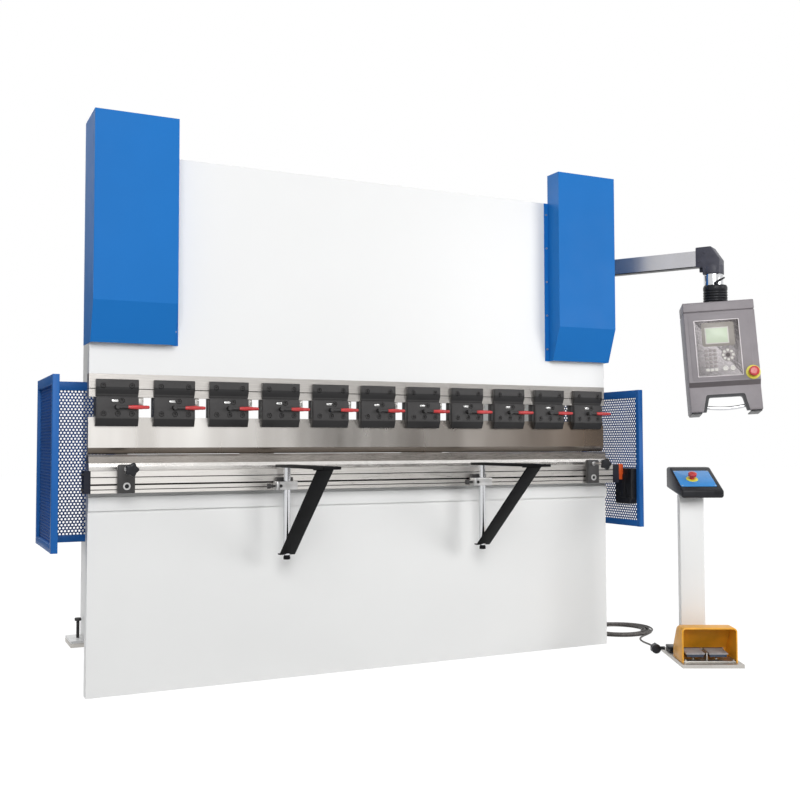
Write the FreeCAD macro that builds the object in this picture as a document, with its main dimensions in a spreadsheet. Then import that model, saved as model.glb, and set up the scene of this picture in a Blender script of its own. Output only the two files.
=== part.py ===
import FreeCAD, Part, Sketcher
import math
import os

# Hydraulic press brake, 2.5 m working length, with its pendant control and foot switch.
# The frame: X along the work to the right, Y away from the operator, Z up from the floor.
# Y is 0 on the bending plane, which the ram, the punch and the die share.

os.makedirs("parts", exist_ok=True)
Vector = FreeCAD.Vector
document = FreeCAD.newDocument("press_brake")

# Driving dimensions, in millimetres and degrees

DRIVING = [
    ("table_length", 2500, "working length of bed and ram"),
    ("running_gap", 0.3, "gap between seated pieces on different bodies"),
    # Bed
    ("bed_thickness", 50, "thickness of the bed plate"),
    ("bed_top", 887, "height of the bed plate"),
    ("lip_drop", 159, "bed top to the underside of the lip"),
    ("lip_height", 54, "height of the lip"),
    ("lip_proud", 10, "how far the lip stands out of the bed"),
    ("rail_height", 89, "height of the front rail"),
    ("rail_depth", 62, "depth of the front rail"),
    ("rail_slot_height", 34, "slot centre above the underside of the rail"),
    ("rail_slot_width", 7, "mouth of the slot"),
    ("rail_slot_depth", 9, "depth of the mouth"),
    ("rail_tee_width", 18, "width of the wide part of the slot"),
    ("rail_tee_depth", 9, "depth of the wide part of the slot"),
    ("rail_seam_height", 61, "seam line above the underside of the rail"),
    ("seam_width", 3, "width and depth of a seam line"),
    ("left_cap_width", 25, "left end cap of the rail"),
    ("right_cap_width", 38, "right end cap of the rail"),
    # Tools
    ("holder_height", 28, "height of the die holder"),
    ("holder_width", 84, "width of the die holder"),
    ("die_height", 35, "height of the die"),
    ("die_foot_width", 74, "width of the die foot"),
    ("die_foot_height", 8, "height of the die foot"),
    ("die_width", 60, "width of the die"),
    ("die_land", 14, "flat width on top of the die, each side of the groove"),
    ("die_shoulder", 9, "height of the slope on the die shoulder"),
    ("groove_width", 16, "opening of the die groove"),
    ("groove_depth", 9, "depth of the die groove"),
    ("punch_tip_gap", 1.5, "punch tip above the die face when closed"),
    ("punch_tip_flat", 2, "width of the flat on the punch tip"),
    ("punch_taper", 25, "height of the taper at the punch tip"),
    ("punch_thickness", 28, "thickness of the punch blade"),
    ("punch_blade", 104, "height of the punch blade"),
    ("punch_neck", 18, "height of the neck above the blade"),
    ("punch_neck_thickness", 18, "thickness of the punch neck"),
    # Ram
    ("ram_thickness", 45, "thickness of the ram plate"),
    ("back_block_height", 80.5, "height of the blocks between punch and ram"),
    ("ram_seam", 33, "seam line above the underside of the ram"),
    ("ram_shoulder_height", 321, "underside of the ram to its shoulders"),
    ("ram_height", 988, "height of the ram"),
    ("ram_upper_length", 1864, "length of the ram between the cylinders"),
    ("ram_stroke", 100, "travel of the ram"),
    # Quick clamps
    ("clamp_count", 11, "number of quick clamps"),
    ("clamp_pitch", 228.3, "distance from clamp to clamp"),
    ("clamp_width", 167, "width of a clamp"),
    ("clamp_proud", 17, "how far the clamps stand out of the ram"),
    ("clamp_reach", 70, "how far the clamps reach up the ram"),
    ("clamp_head", 43, "height of the clamp head face"),
    ("clamp_waist_drop", 26, "brow to the joint between the clamp head and plate"),
    ("clamp_plate_height", 89, "height of the clamp plate above its jaw"),
    ("clamp_jaw_height", 29, "height of the clamp jaw"),
    ("clamp_bevel", 12, "depth of the clamp's bevels"),
    ("clamp_spacer_width", 24, "width of the spacer beside a clamp"),
    ("clamp_spacer_height", 33, "height of the spacer beside a clamp"),
    ("lever_rise", 47, "upper edge of the jaw to the clamp levers"),
    ("lever_offset", 3, "lever pivot left of the clamp's middle"),
    ("lever_pin_radius", 7, "radius of the lever pivot"),
    ("lever_radius", 6, "radius of the lever shank"),
    ("lever_length", 126, "pivot to the tip of the lever"),
    ("lever_grip_length", 84, "length of the lever grip"),
    ("lever_grip_radius", 9, "radius of the lever grip"),
    ("lever_clear", 5, "gap between a grip and the clamp plate"),
    # Side frames
    ("frame_outer", 1085, "middle plane to the outside of a side frame"),
    ("frame_thickness", 50, "thickness of a side frame"),
    ("frame_rear", 1210, "rear edge of the side frames"),
    ("frame_drop", 17, "top of the ram to the top of the side frames"),
    ("frame_clear", 20, "side frames above the floor"),
    ("frame_rear_slope", 330, "size of the sloping rear corner"),
    ("throat_depth", 300, "bending plane to the back of the throat"),
    ("throat_drop", 37, "bed top to the lower edge of the throat"),
    ("throat_rise", 161, "underside of the ram to the upper edge of the throat"),
    ("throat_radius", 60, "corner radius in the throat"),
    ("lug_width", 68, "levelling lug across the frame"),
    ("lug_length", 186, "levelling lug along the frame"),
    ("lug_height", 12, "thickness of the levelling lug"),
    ("lug_front", 150, "bending plane to the front lugs"),
    ("lug_rear", 1140, "bending plane to the rear lugs"),
    ("foot_width", 94, "foot block across the frame"),
    ("foot_length", 190, "foot block along the frame"),
    ("bolt_place", 22, "outside of the frame to the axis of a levelling bolt"),
    ("bolt_radius", 8, "radius of the levelling bolts"),
    ("bolt_head_radius", 17.5, "radius of the bolt heads"),
    ("bolt_head_height", 14, "height of the bolt heads"),
    ("bolt_top", 130, "top of the levelling bolts"),
    ("tie_height", 180, "height of the rear tie beams"),
    ("tie_depth", 70, "depth of the rear tie beams"),
    ("lower_tie_bottom", 260, "underside of the lower tie beam"),
    ("upper_tie_drop", 470, "top of the side frames to the upper tie beam"),
    # Hydraulics
    ("cylinder_place", 1060, "middle plane to the cylinder axis"),
    ("cylinder_radius", 82, "radius of the cylinder barrel"),
    ("cylinder_flange", 190, "side of the square cylinder flange"),
    ("rod_free", 140, "ram shoulder to the underside of the cylinder"),
    ("cylinder_flange_height", 60, "height of the cylinder flange"),
    ("cylinder_height", 600, "height of the cylinder"),
    ("cylinder_seat", 100, "bending plane to the front edge of the upper frame"),
    ("rod_radius", 50, "radius of the piston rod"),
    ("rod_foot_height", 45, "height of the rod's foot"),
    ("rod_inside", 260, "length of the rod inside the cylinder"),
    ("tank_front", 430, "front of the oil tank"),
    ("tank_depth", 360, "depth of the oil tank"),
    ("tank_drop", 590, "top of the side frames to the underside of the oil tank"),
    ("tank_height", 380, "height of the oil tank"),
    ("tank_rim", 14, "how far the tank lid stands out"),
    ("tank_lid", 12, "thickness of the tank lid"),
    ("motor_radius", 92, "radius of the pump motor"),
    ("motor_length", 300, "length of the pump motor"),
    ("motor_place", -260, "middle plane to the middle of the motor"),
    # Back gauge
    ("gauge_place", 620, "middle plane to each gauge arm"),
    ("gauge_arm_width", 90, "width of a gauge arm"),
    ("gauge_arm_height", 110, "height of a gauge arm"),
    ("gauge_arm_length", 700, "length of a gauge arm"),
    ("gauge_drop", 25, "bed top to the top of the gauge arms"),
    ("gauge_beam_place", 520, "bending plane to the gauge beam"),
    ("gauge_beam_size", 70, "side of the gauge beam"),
    ("gauge_beam_length", 1800, "length of the gauge beam"),
    ("finger_place", 430, "middle plane to each stop finger"),
    ("finger_width", 60, "width of a stop finger"),
    ("finger_reach", 330, "length of a stop finger"),
    ("finger_height", 36, "height of a stop finger"),
    # Cylinder covers
    ("cover_width", 329, "width of a cover"),
    ("cover_proud", 95, "front of the cover from the ram face"),
    ("cover_chin", 37, "lower edge of the cover from the ram face"),
    ("cover_wrap", 109, "bending plane to the rear edge of the cover"),
    ("cover_rise", 213, "underside of the ram to the covers"),
    ("cover_chin_height", 161, "height of the sloping chin of a cover"),
    ("cover_head", 138, "top of the ram to the top of the covers"),
    ("cover_flange", 22, "width of the flange on the ram"),
    ("cover_sheet", 3, "sheet thickness of the covers"),
    # Guards
    ("guard_outer", 1401, "middle plane to the outside of a guard"),
    ("guard_front", 136, "bending plane to the front of a guard"),
    ("guard_rear", 348, "bending plane to the back of a guard"),
    ("guard_drop", 308, "bed top to the underside of a guard"),
    ("guard_height", 678, "height of a guard"),
    ("guard_post", 26, "side of the guard posts"),
    ("guard_top_rail", 38, "height of the upper guard rail"),
    ("guard_bottom_rail", 30, "height of the lower guard rail"),
    ("guard_sheet", 2, "sheet thickness of the guards"),
    ("switch_front", 110, "bending plane to the front of the guard switch"),
    ("switch_depth", 130, "depth of the guard switch"),
    ("switch_rise", 111, "underside of a guard to the guard switch"),
    ("switch_height", 177, "height of the guard switch"),
    ("switch_width", 42, "width of the guard switch"),
    ("actuator_width", 28, "width of the orange actuator"),
    ("actuator_height", 78, "height of the orange actuator"),
    ("actuator_rise", 121, "underside of the guard switch to the orange actuator"),
    ("actuator_depth", 12, "thickness of the orange actuator"),
    # Sheet supports on the rail
    ("support_left_place", -465, "middle plane to the left support"),
    ("support_right_place", 475, "middle plane to the right support"),
    ("support_post_radius", 15, "radius of the support post"),
    ("support_post_front", 48, "rail face to the axis of the support post"),
    ("support_post_length", 361, "length of the support post below its top plate"),
    ("support_nut_height", 20, "height of the nut below the post"),
    ("support_nut_radius", 13, "radius of the nut below the post"),
    ("support_rise", 18, "bed top to the top face of the support"),
    ("support_plate", 12, "thickness of the support's top plate"),
    ("support_width", 74, "width of the support's top plate"),
    ("support_reach", 553, "rail face to the tip of the top plate"),
    ("support_root_gap", 6, "top plate short of the rail face"),
    ("brace_width", 66, "width of the brace"),
    ("brace_sheet", 5, "thickness of the brace"),
    ("brace_reach", 430, "post axis to the upper end of the brace"),
    ("clamp_block_width", 104, "width of the post clamp"),
    ("clamp_block_height", 36, "height of the post clamp"),
    ("clamp_handle_length", 35, "length of the handle on the post clamp"),
    ("clamp_handle_radius", 6, "radius of the handle on the post clamp"),
    ("block_rise", 1, "underside of the rail to the blocks on it"),
    # Stop blocks on the rail
    ("stop_place", 1117, "middle plane to each stop block"),
    ("stop_width", 66, "width of a stop block"),
    ("stop_height", 112, "height of a stop block"),
    ("stop_depth", 22, "depth of a stop block"),
    ("stop_corner", 10, "radius of the upper corners of a stop block"),
    ("knob_radius", 28, "radius of the star knob"),
    ("knob_length", 24, "length of the star knob"),
    ("knob_core_radius", 23, "radius of the star knob between its lobes"),
    ("knob_lobe_radius", 8, "radius of a lobe of the star knob"),
    ("knob_lobes", 5, "number of lobes on the star knob"),
    ("knob_stem_radius", 5.5, "radius of the knob's stem"),
    ("knob_stem_length", 86, "length of the knob's stem"),
    ("knob_drop", 18, "knob axis below the top of the stop block"),
    # Pendant arm
    ("arm_pivot_x", 1160, "middle plane to the arm pivot"),
    ("arm_pivot_y", 499, "bending plane to the arm pivot"),
    ("arm_drop", 207, "top of the side frames to the top of the pendant arm"),
    ("arm_height", 76, "height of the arm bar"),
    ("arm_width", 56, "width of the arm bar"),
    ("arm_wall", 4, "wall of the arm bar"),
    ("arm_length", 916, "pivot to the far end of the arm bar"),
    ("arm_heading", -58.5, "direction of the arm from the X axis, degrees"),
    ("arm_pin_radius", 18, "radius of the arm pivot pin"),
    ("arm_boss_radius", 38, "radius of the arm's pivot boss"),
    ("arm_ear", 24, "thickness of the bracket ears"),
    ("elbow_reach", 75, "end of the bar to the pendant axis"),
    ("elbow_radius", 50, "radius of the round foot of the elbow"),
    ("elbow_half", 42, "half the width of the elbow casting"),
    ("elbow_corner", 5, "radius of the elbow's upper corners"),
    ("elbow_foot", 46, "height of the round foot of the elbow"),
    ("elbow_height", 121, "top of the arm to the underside of the elbow"),
    ("elbow_wall", 8, "how far the elbow stands out under the bar"),
    ("elbow_crown", 15, "how far the elbow stands over the bar"),
    ("spigot_radius", 47, "radius of the steel spigot below the elbow"),
    ("spigot_length", 54, "length of the steel spigot"),
    ("swivel_radius", 60, "radius of the ribbed swivel"),
    ("swivel_length", 85, "length of the ribbed swivel"),
    ("swivel_groove", 3, "depth of the swivel's grooves"),
    # Pendant
    ("pendant_heading", -34, "direction of the pendant's front edge, degrees"),
    ("pendant_offset", 8, "spigot axis to the middle of the pendant"),
    ("pendant_tilt", 7.7, "lean of the pendant face, degrees"),
    ("pendant_width", 335, "width of the pendant"),
    ("pendant_height", 557, "height of the pendant"),
    ("pendant_depth", 130, "depth of the pendant"),
    ("pendant_cap", 48, "height of the pendant's cap"),
    ("pendant_seam", 2.5, "width and depth of the seam under the cap"),
    ("pendant_slope", 402, "top of the pendant to the start of its lower slope"),
    ("pendant_slope_height", 30, "height of the lower slope"),
    ("pendant_leg_depth", 118, "depth of the pendant's legs"),
    ("pendant_roll", 2.9, "how far the pendant hangs out of level, degrees"),
    ("handle_top", 470, "top of the pendant to the handle opening"),
    ("handle_upper_width", 168, "width of the handle opening at its top"),
    ("handle_lower_width", 226, "width of the handle opening at its foot"),
    ("handle_radius", 9, "radius of the handle bar"),
    ("handle_height", 524, "top of the pendant to the handle bar"),
    ("handle_sag", 14, "sag of the handle bar in its middle"),
    ("stop_button_x", 134, "stop button from the pendant's middle"),
    ("stop_button_z", 362, "top of the pendant to the stop button"),
    ("button_collar_radius", 34, "radius of the stop button's collar"),
    ("button_collar_height", 5, "height of the stop button's collar"),
    ("button_radius", 24, "radius of the stop button"),
    ("button_height", 18, "height of the stop button's head"),
    ("button_stem_radius", 11, "radius of the stop button's stem"),
    ("button_stem_length", 12, "visible length of the stop button's stem"),
    ("button_travel", 5, "travel of a stop button"),
    # Foot switch stand
    ("stand_x", 1199, "middle plane to the near left corner of the stand"),
    ("stand_y", -633, "bending plane to the near left corner of the stand"),
    ("stand_heading", -26.5, "direction of the stand's front edge, degrees"),
    ("stand_width", 271, "width of the stand's base plate"),
    ("stand_depth", 400, "depth of the stand's base plate"),
    ("stand_plate", 16, "height of the stand's base plate"),
    ("post_left", 49, "left edge of the base plate to the post"),
    ("post_width", 112, "width of the post"),
    ("post_depth", 45, "depth of the post"),
    ("post_front", 207, "front of the base plate to the post"),
    ("post_height", 750, "height of the post"),
    ("head_left", 37, "left edge of the base plate to the head"),
    ("head_width", 192, "width of the head"),
    ("head_front", 115, "front of the base plate to the head"),
    ("head_depth", 286, "depth of the head"),
    ("head_bottom", 740, "lower front edge of the head"),
    ("head_brow", 37, "height of the head's front edge"),
    ("head_rear_bottom", 778, "lower rear edge of the head"),
    ("head_rear_top", 877, "upper rear edge of the head"),
    ("head_crown", 70, "length of the level part on top of the head"),
    ("head_button_x", 72, "left side of the head to the stop button"),
    ("head_button_y", 98, "front edge of the head to the stop button"),
    ("stand_collar_radius", 27, "radius of the collar on the head"),
    ("stand_button_radius", 19.5, "radius of the stop button on the head"),
    ("hood_left", 8, "left edge of the base plate to the hood"),
    ("hood_width", 246, "width of the hood"),
    ("hood_front", 40, "front of the base plate to the hood"),
    ("hood_depth", 158, "depth of the hood at its foot"),
    ("hood_top_depth", 85, "depth of the hood at its top"),
    ("hood_knee", 45, "height of the upright part of the hood's back"),
    ("hood_height", 153, "height of the hood"),
    ("hood_wall", 6, "wall of the hood"),
    ("hood_corner", 18, "corner radius of the hood"),
    ("pedal_width", 88, "width of a pedal"),
    ("pedal_left", 25, "left edge of the base plate to the left pedal"),
    ("pedal_gap", 14, "gap between the pedals"),
    ("pedal_front", 48, "front of the base plate to the pedals"),
    ("pedal_length", 96, "length of a pedal"),
    ("pedal_plate", 6, "thickness of a pedal"),
    ("pedal_front_height", 34, "pedal's front edge above the base plate"),
    ("pedal_pivot_height", 40, "pedal pivot above the base plate"),
    ("pedal_boss_radius", 8, "radius of the pedal's pivot boss"),
    ("pedal_pin_radius", 4, "radius of the pedal pin"),
    # Foot switch cable
    ("cable_radius", 4.5, "radius of the cable"),
    ("gland_radius", 22, "radius of the cable gland"),
    ("gland_length", 44, "length of the cable gland"),
    ("gland_reach", 42, "edge of the base plate to the gland's axis"),
    ("gland_height", 24, "height of the cable gland"),
    ("lead_run", 36, "straight run of the lead out of the stand's gland"),
    ("gland_place", 333, "front of the base plate to the cable gland"),
    ("coil_x", 1506, "middle plane to the middle of the coil"),
    ("coil_y", 225, "bending plane to the middle of the coil"),
    ("coil_outer", 190, "outer radius of the coil"),
    ("coil_inner", 122, "inner radius of the coil"),
    ("coil_height", 28, "height of the coil"),
    ("wall_gland_y", 420, "bending plane to the gland on the side frame"),
    ("wall_gland_height", 110, "height of the gland on the side frame"),
    # Electrical cabinet
    ("cabinet_front", 640, "bending plane to the front of the cabinet"),
    ("cabinet_depth", 480, "depth of the cabinet"),
    ("cabinet_width", 330, "width of the cabinet"),
    ("cabinet_bottom", 560, "underside of the cabinet"),
    ("cabinet_height", 1180, "height of the cabinet"),
]


class Length:
    """A number that remembers the sheet formula it comes from."""

    def __init__(self, number, formula):
        self.number = number
        self.formula = formula

    def _with(self, other, sign, number):
        return Length(number, "(%s %s %s)" % (self.formula, sign, formula_of(other)))

    def __add__(self, other):
        return self._with(other, "+", self.number + number_of(other))

    def __sub__(self, other):
        return self._with(other, "-", self.number - number_of(other))

    def __mul__(self, other):
        return self._with(other, "*", self.number * number_of(other))

    def __truediv__(self, other):
        return self._with(other, "/", self.number / number_of(other))

    def __neg__(self):
        return Length(-self.number, "(0 - %s)" % self.formula)

    def __radd__(self, other):
        return as_length(other) + self

    def __rsub__(self, other):
        return as_length(other) - self

    def __rmul__(self, other):
        return as_length(other) * self


def number_of(value):
    return value.number if isinstance(value, Length) else float(value)


def formula_of(value):
    return value.formula if isinstance(value, Length) else "%.6f" % value


def as_length(value):
    return value if isinstance(value, Length) else Length(float(value), "%.6f" % value)


class Sizes:
    """The driving dimensions as attributes, read back from the sheet."""


sheet = document.addObject("Spreadsheet::Sheet", "Sizes")
for row, (alias, number, meaning) in enumerate(DRIVING, start=1):
    sheet.set("A%d" % row, meaning)
    sheet.set("B%d" % row, str(number))
    sheet.setAlias("B%d" % row, alias)
document.recompute()

size = Sizes()
for alias, number, meaning in DRIVING:
    setattr(size, alias, Length(float(sheet.get(alias)), "Sizes." + alias))

half_length = size.table_length / 2
gap = size.running_gap


# Makers shared by the sub-parts

def bind(target, item, value):
    """Set one size of a document object and tie it to the sheet."""
    target.setExpression(item, as_length(value).formula)


def place(target, x, y, z):
    for axis, value in zip("xyz", (x, y, z)):
        bind(target, "Placement.Base." + axis, value)


def box(name, x_span, y_span, z_span):
    """A block between two limits along each axis."""
    block = document.addObject("Part::Box", name)
    for item, (low, high) in zip(("Length", "Width", "Height"), (x_span, y_span, z_span)):
        bind(block, item, as_length(high) - low)
    place(block, x_span[0], y_span[0], z_span[0])
    return block


TURNS = {
    "x": FreeCAD.Rotation(Vector(0, 1, 0), 90),
    "y": FreeCAD.Rotation(Vector(1, 0, 0), -90),
    "z": FreeCAD.Rotation(),
}


def rod(name, axis, start, length, radius):
    """A round bar that runs from start along the positive axis."""
    bar = document.addObject("Part::Cylinder", name)
    bar.Placement = FreeCAD.Placement(Vector(), TURNS[axis])
    bind(bar, "Radius", radius)
    bind(bar, "Height", length)
    place(bar, *start)
    return bar


def fuse(name, shapes):
    joined = document.addObject("Part::MultiFuse", name)
    joined.Shapes = shapes
    joined.Refine = True
    return joined


def cut(name, base, tool):
    rest = document.addObject("Part::Cut", name)
    rest.Base = base
    rest.Tool = tool
    rest.Refine = True
    return rest


def group(name, shapes):
    """Like pieces that don't touch, kept as one node."""
    together = document.addObject("Part::Compound", name)
    together.Links = shapes
    return together


def origin_plane(body, role):
    return next(plane for plane in body.Origin.OriginFeatures if plane.Role == role)


def outline(sketch, points):
    """Close a polygon through points whose places are tied to the sheet."""
    corners = [Vector(number_of(across), number_of(up), 0) for across, up in points]
    for first, second in zip(corners, corners[1:] + corners[:1]):
        sketch.addGeometry(Part.LineSegment(first, second), False)
    count = len(points)
    for index in range(count):
        sketch.addConstraint(Sketcher.Constraint("Coincident", index, 2, (index + 1) % count, 1))
    for index, pair in enumerate(points):
        for kind, value in zip(("DistanceX", "DistanceY"), pair):
            number = number_of(value)
            if number < 0:
                ends = (index, 1, -1, 1, -number)
                formula = as_length(-as_length(value)).formula
            else:
                ends = (-1, 1, index, 1, number)
                formula = as_length(value).formula
            constraint = sketch.addConstraint(Sketcher.Constraint(kind, *ends))
            sketch.setExpression("Constraints[%d]" % constraint, formula)


def prism(name, role, points, span):
    """A body whose outline on an origin plane is padded between two limits.

    On YZ_Plane the points are (y, z) and the span runs along X, on XY_Plane they are (x, y)
    with the span along Z, and on XZ_Plane they are (x, z) with the span along Y.
    """
    body = document.addObject("PartDesign::Body", name)
    sketch = body.newObject("Sketcher::SketchObject", name + "_outline")
    sketch.AttachmentSupport = (origin_plane(body, role), "")
    sketch.MapMode = "FlatFace"
    low, high = as_length(span[0]), as_length(span[1])
    start = -high if role == "XZ_Plane" else low
    bind(sketch, "AttachmentOffset.Base.z", start)
    outline(sketch, points)
    pad = body.newObject("PartDesign::Pad", name + "_pad")
    pad.Profile = sketch
    bind(pad, "Length", high - low)
    body.Tip = pad
    return body


def round_edges(body, name, radius, wanted):
    """Round the edges of a body whose middle satisfies wanted(point)."""
    document.recompute()
    feature = body.Tip
    edges = []
    for index, edge in enumerate(feature.Shape.Edges, start=1):
        if wanted(edge.CenterOfMass):
            edges.append("Edge%d" % index)
    fillet = body.newObject("PartDesign::Fillet", name)
    fillet.Base = (feature, edges)
    bind(fillet, "Radius", radius)
    body.Tip = fillet
    return body


def mirrored(name, source):
    """The same piece on the other side of the middle plane."""
    twin = document.addObject("Part::Mirroring", name)
    twin.Source = source
    twin.Normal = Vector(1, 0, 0)
    twin.Base = Vector(0, 0, 0)
    return twin


nodes = []


def node(name, source):
    """Name the object that is written out as one sub-part."""
    source.Label = name
    nodes.append(source)
    return source


def near(value, target, room=0.5):
    return abs(value - number_of(target)) < room


# Heights, each from the one that carries it

rail_bottom = size.bed_top - size.rail_height
lip_bottom = size.bed_top - size.lip_drop
gauge_arm_top = size.bed_top - size.gauge_drop
guard_bottom = size.bed_top - size.guard_drop
guard_top = guard_bottom + size.guard_height
switch_bottom = guard_bottom + size.switch_rise
actuator_bottom = switch_bottom + size.actuator_rise
throat_bottom = size.bed_top - size.throat_drop
support_top = size.bed_top + size.support_rise
support_post_bottom = support_top - size.support_plate - size.support_post_length
clamp_block_bottom = rail_bottom + size.block_rise
stop_bottom = rail_bottom + size.block_rise
holder_top = size.bed_top + size.holder_height
die_top = holder_top + size.die_height
punch_tip = die_top + size.punch_tip_gap
punch_shoulder = punch_tip + size.punch_taper
punch_neck_bottom = punch_shoulder + size.punch_blade
punch_top = punch_neck_bottom + size.punch_neck
ram_bottom = punch_top + size.back_block_height
ram_shoulder = ram_bottom + size.ram_shoulder_height
ram_top = ram_bottom + size.ram_height
clamp_top = ram_bottom + size.clamp_reach
clamp_brow = clamp_top - size.clamp_head
clamp_waist = clamp_brow - size.clamp_waist_drop
clamp_jaw = clamp_waist - size.clamp_plate_height
clamp_bottom = clamp_jaw - size.clamp_jaw_height
lever_height = clamp_jaw + size.lever_rise
throat_top = ram_bottom + size.throat_rise
frame_top = ram_top - size.frame_drop
upper_tie_bottom = frame_top - size.upper_tie_drop - size.tie_height
cylinder_bottom = ram_shoulder + size.rod_free
tank_bottom = frame_top - size.tank_drop
cover_bottom = ram_bottom + size.cover_rise
cover_fold = cover_bottom + size.cover_chin_height
cover_top = ram_top + size.cover_head
arm_top = frame_top - size.arm_drop
elbow_bottom = arm_top - size.elbow_height

# Bed plate with its lip, one plate from the floor to the die holder

bed_front = -size.bed_thickness / 2
bed_back = size.bed_thickness / 2
lip_top = lip_bottom + size.lip_height
node("bed_plate", prism("bed", "YZ_Plane", [
    (bed_front, 0),
    (bed_back, 0),
    (bed_back, size.bed_top),
    (bed_front, size.bed_top),
    (bed_front, lip_top),
    (bed_front - size.lip_proud, lip_top),
    (bed_front - size.lip_proud, lip_bottom),
    (bed_front, lip_bottom),
], (-half_length, half_length)))

# Front rail with its slot, which carries the sheet supports and the stop blocks

rail_face = bed_front - size.rail_depth
rail_top = rail_bottom + size.rail_height
slot_centre = rail_bottom + size.rail_slot_height
slot_mouth = rail_face + size.rail_slot_depth
slot_floor = slot_mouth + size.rail_tee_depth
rail_seam = rail_bottom + size.rail_seam_height
node("front_rail", prism("rail", "YZ_Plane", [
    (rail_face, rail_bottom),
    (bed_front, rail_bottom),
    (bed_front, rail_top),
    (rail_face, rail_top),
    (rail_face, rail_seam + size.seam_width),
    (rail_face + size.seam_width, rail_seam + size.seam_width),
    (rail_face + size.seam_width, rail_seam),
    (rail_face, rail_seam),
    (rail_face, slot_centre + size.rail_slot_width / 2),
    (slot_mouth, slot_centre + size.rail_slot_width / 2),
    (slot_mouth, slot_centre + size.rail_tee_width / 2),
    (slot_floor, slot_centre + size.rail_tee_width / 2),
    (slot_floor, slot_centre - size.rail_tee_width / 2),
    (slot_mouth, slot_centre - size.rail_tee_width / 2),
    (slot_mouth, slot_centre - size.rail_slot_width / 2),
    (rail_face, slot_centre - size.rail_slot_width / 2),
], (-half_length, half_length)))

node("rail_end_caps", group("rail_caps", [
    box("left_cap", (-half_length - size.left_cap_width, -half_length),
        (rail_face, bed_front), (rail_bottom, rail_top)),
    box("right_cap", (half_length, half_length + size.right_cap_width),
        (rail_face, bed_front), (rail_bottom, rail_top)),
]))

# Die holder and die

holder_neck = size.die_foot_width / 2
node("die_holder", prism("holder", "YZ_Plane", [
    (-size.holder_width / 2, size.bed_top),
    (size.holder_width / 2, size.bed_top),
    (size.holder_width / 2, size.bed_top + size.holder_height / 2),
    (holder_neck, holder_top),
    (-holder_neck, holder_top),
    (-size.holder_width / 2, size.bed_top + size.holder_height / 2),
], (-half_length, half_length)))

die_foot_top = holder_top + size.die_foot_height
die_face = size.groove_width / 2 + size.die_land
node("die", prism("die_bar", "YZ_Plane", [
    (-size.die_foot_width / 2, holder_top),
    (size.die_foot_width / 2, holder_top),
    (size.die_foot_width / 2, die_foot_top),
    (size.die_width / 2, die_foot_top),
    (size.die_width / 2, die_top - size.die_shoulder),
    (die_face, die_top),
    (size.groove_width / 2, die_top),
    (0, die_top - size.groove_depth),
    (-size.groove_width / 2, die_top),
    (-die_face, die_top),
    (-size.die_width / 2, die_top - size.die_shoulder),
    (-size.die_width / 2, die_foot_top),
    (-size.die_foot_width / 2, die_foot_top),
], (-half_length, half_length)))

# Punch, which the quick clamps hold under the ram

node("punch", prism("punch_bar", "YZ_Plane", [
    (-size.punch_tip_flat / 2, punch_tip),
    (size.punch_tip_flat / 2, punch_tip),
    (size.punch_thickness / 2, punch_shoulder),
    (size.punch_thickness / 2, punch_neck_bottom),
    (size.punch_neck_thickness / 2, punch_neck_bottom),
    (size.punch_neck_thickness / 2, punch_top),
    (-size.punch_neck_thickness / 2, punch_top),
    (-size.punch_neck_thickness / 2, punch_neck_bottom),
    (-size.punch_thickness / 2, punch_neck_bottom),
    (-size.punch_thickness / 2, punch_shoulder),
], (-half_length, half_length)))

# Ram plate, notched at both ends under the cylinders

ram_face = -size.ram_thickness / 2
ram_back = size.ram_thickness / 2
ram_half = size.ram_upper_length / 2
ram_plate = prism("ram_blank", "XZ_Plane", [
    (-half_length, ram_bottom),
    (half_length, ram_bottom),
    (half_length, ram_shoulder),
    (ram_half, ram_shoulder),
    (ram_half, ram_top),
    (-ram_half, ram_top),
    (-ram_half, ram_shoulder),
    (-half_length, ram_shoulder),
], (ram_face, ram_back))
ram_seam = box("ram_seam", (-half_length, half_length),
               (ram_face, ram_face + size.seam_width),
               (ram_bottom + size.ram_seam - size.seam_width / 2,
                ram_bottom + size.ram_seam + size.seam_width / 2))
node("ram_plate", cut("ram", ram_plate, ram_seam))

# Quick clamps: a front plate over a back block, made once and repeated along the ram

clamp_face = ram_face - size.clamp_proud
plate_back = -size.punch_neck_thickness / 2
jaw_back = -size.punch_thickness / 2
clamp_half = size.clamp_width / 2
clamp_blank = prism("clamp_blank", "YZ_Plane", [
    (clamp_face + size.clamp_bevel, clamp_bottom),
    (jaw_back, clamp_bottom),
    (jaw_back, punch_neck_bottom),
    (plate_back, punch_neck_bottom),
    (plate_back, ram_bottom),
    (ram_face, ram_bottom),
    (ram_face, clamp_top),
    (clamp_face, clamp_top),
    (clamp_face, clamp_brow),
    (clamp_face + size.clamp_bevel, clamp_waist),
    (clamp_face, clamp_waist - size.seam_width),
    (clamp_face, clamp_jaw),
], (-clamp_half, clamp_half))
lever_pivot = -size.lever_offset
lever_hole = rod("lever_hole", "y", (lever_pivot, clamp_face, lever_height),
                 -clamp_face + plate_back, size.lever_pin_radius + gap)
clamp_plate = cut("clamp_plate", clamp_blank, lever_hole)

back_block = box("clamp_block", (-clamp_half, clamp_half), (plate_back, ram_back),
                 (punch_top, ram_bottom))
spacer = box("clamp_spacer", (clamp_half, clamp_half + size.clamp_spacer_width),
             (plate_back, ram_back),
             (ram_bottom - size.clamp_spacer_height, ram_bottom))
clamp_back = fuse("clamp_back", [back_block, spacer])
document.recompute()

clamp_count = int(size.clamp_count.number)
first_clamp = -size.clamp_pitch.number * (clamp_count - 1) / 2


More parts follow.
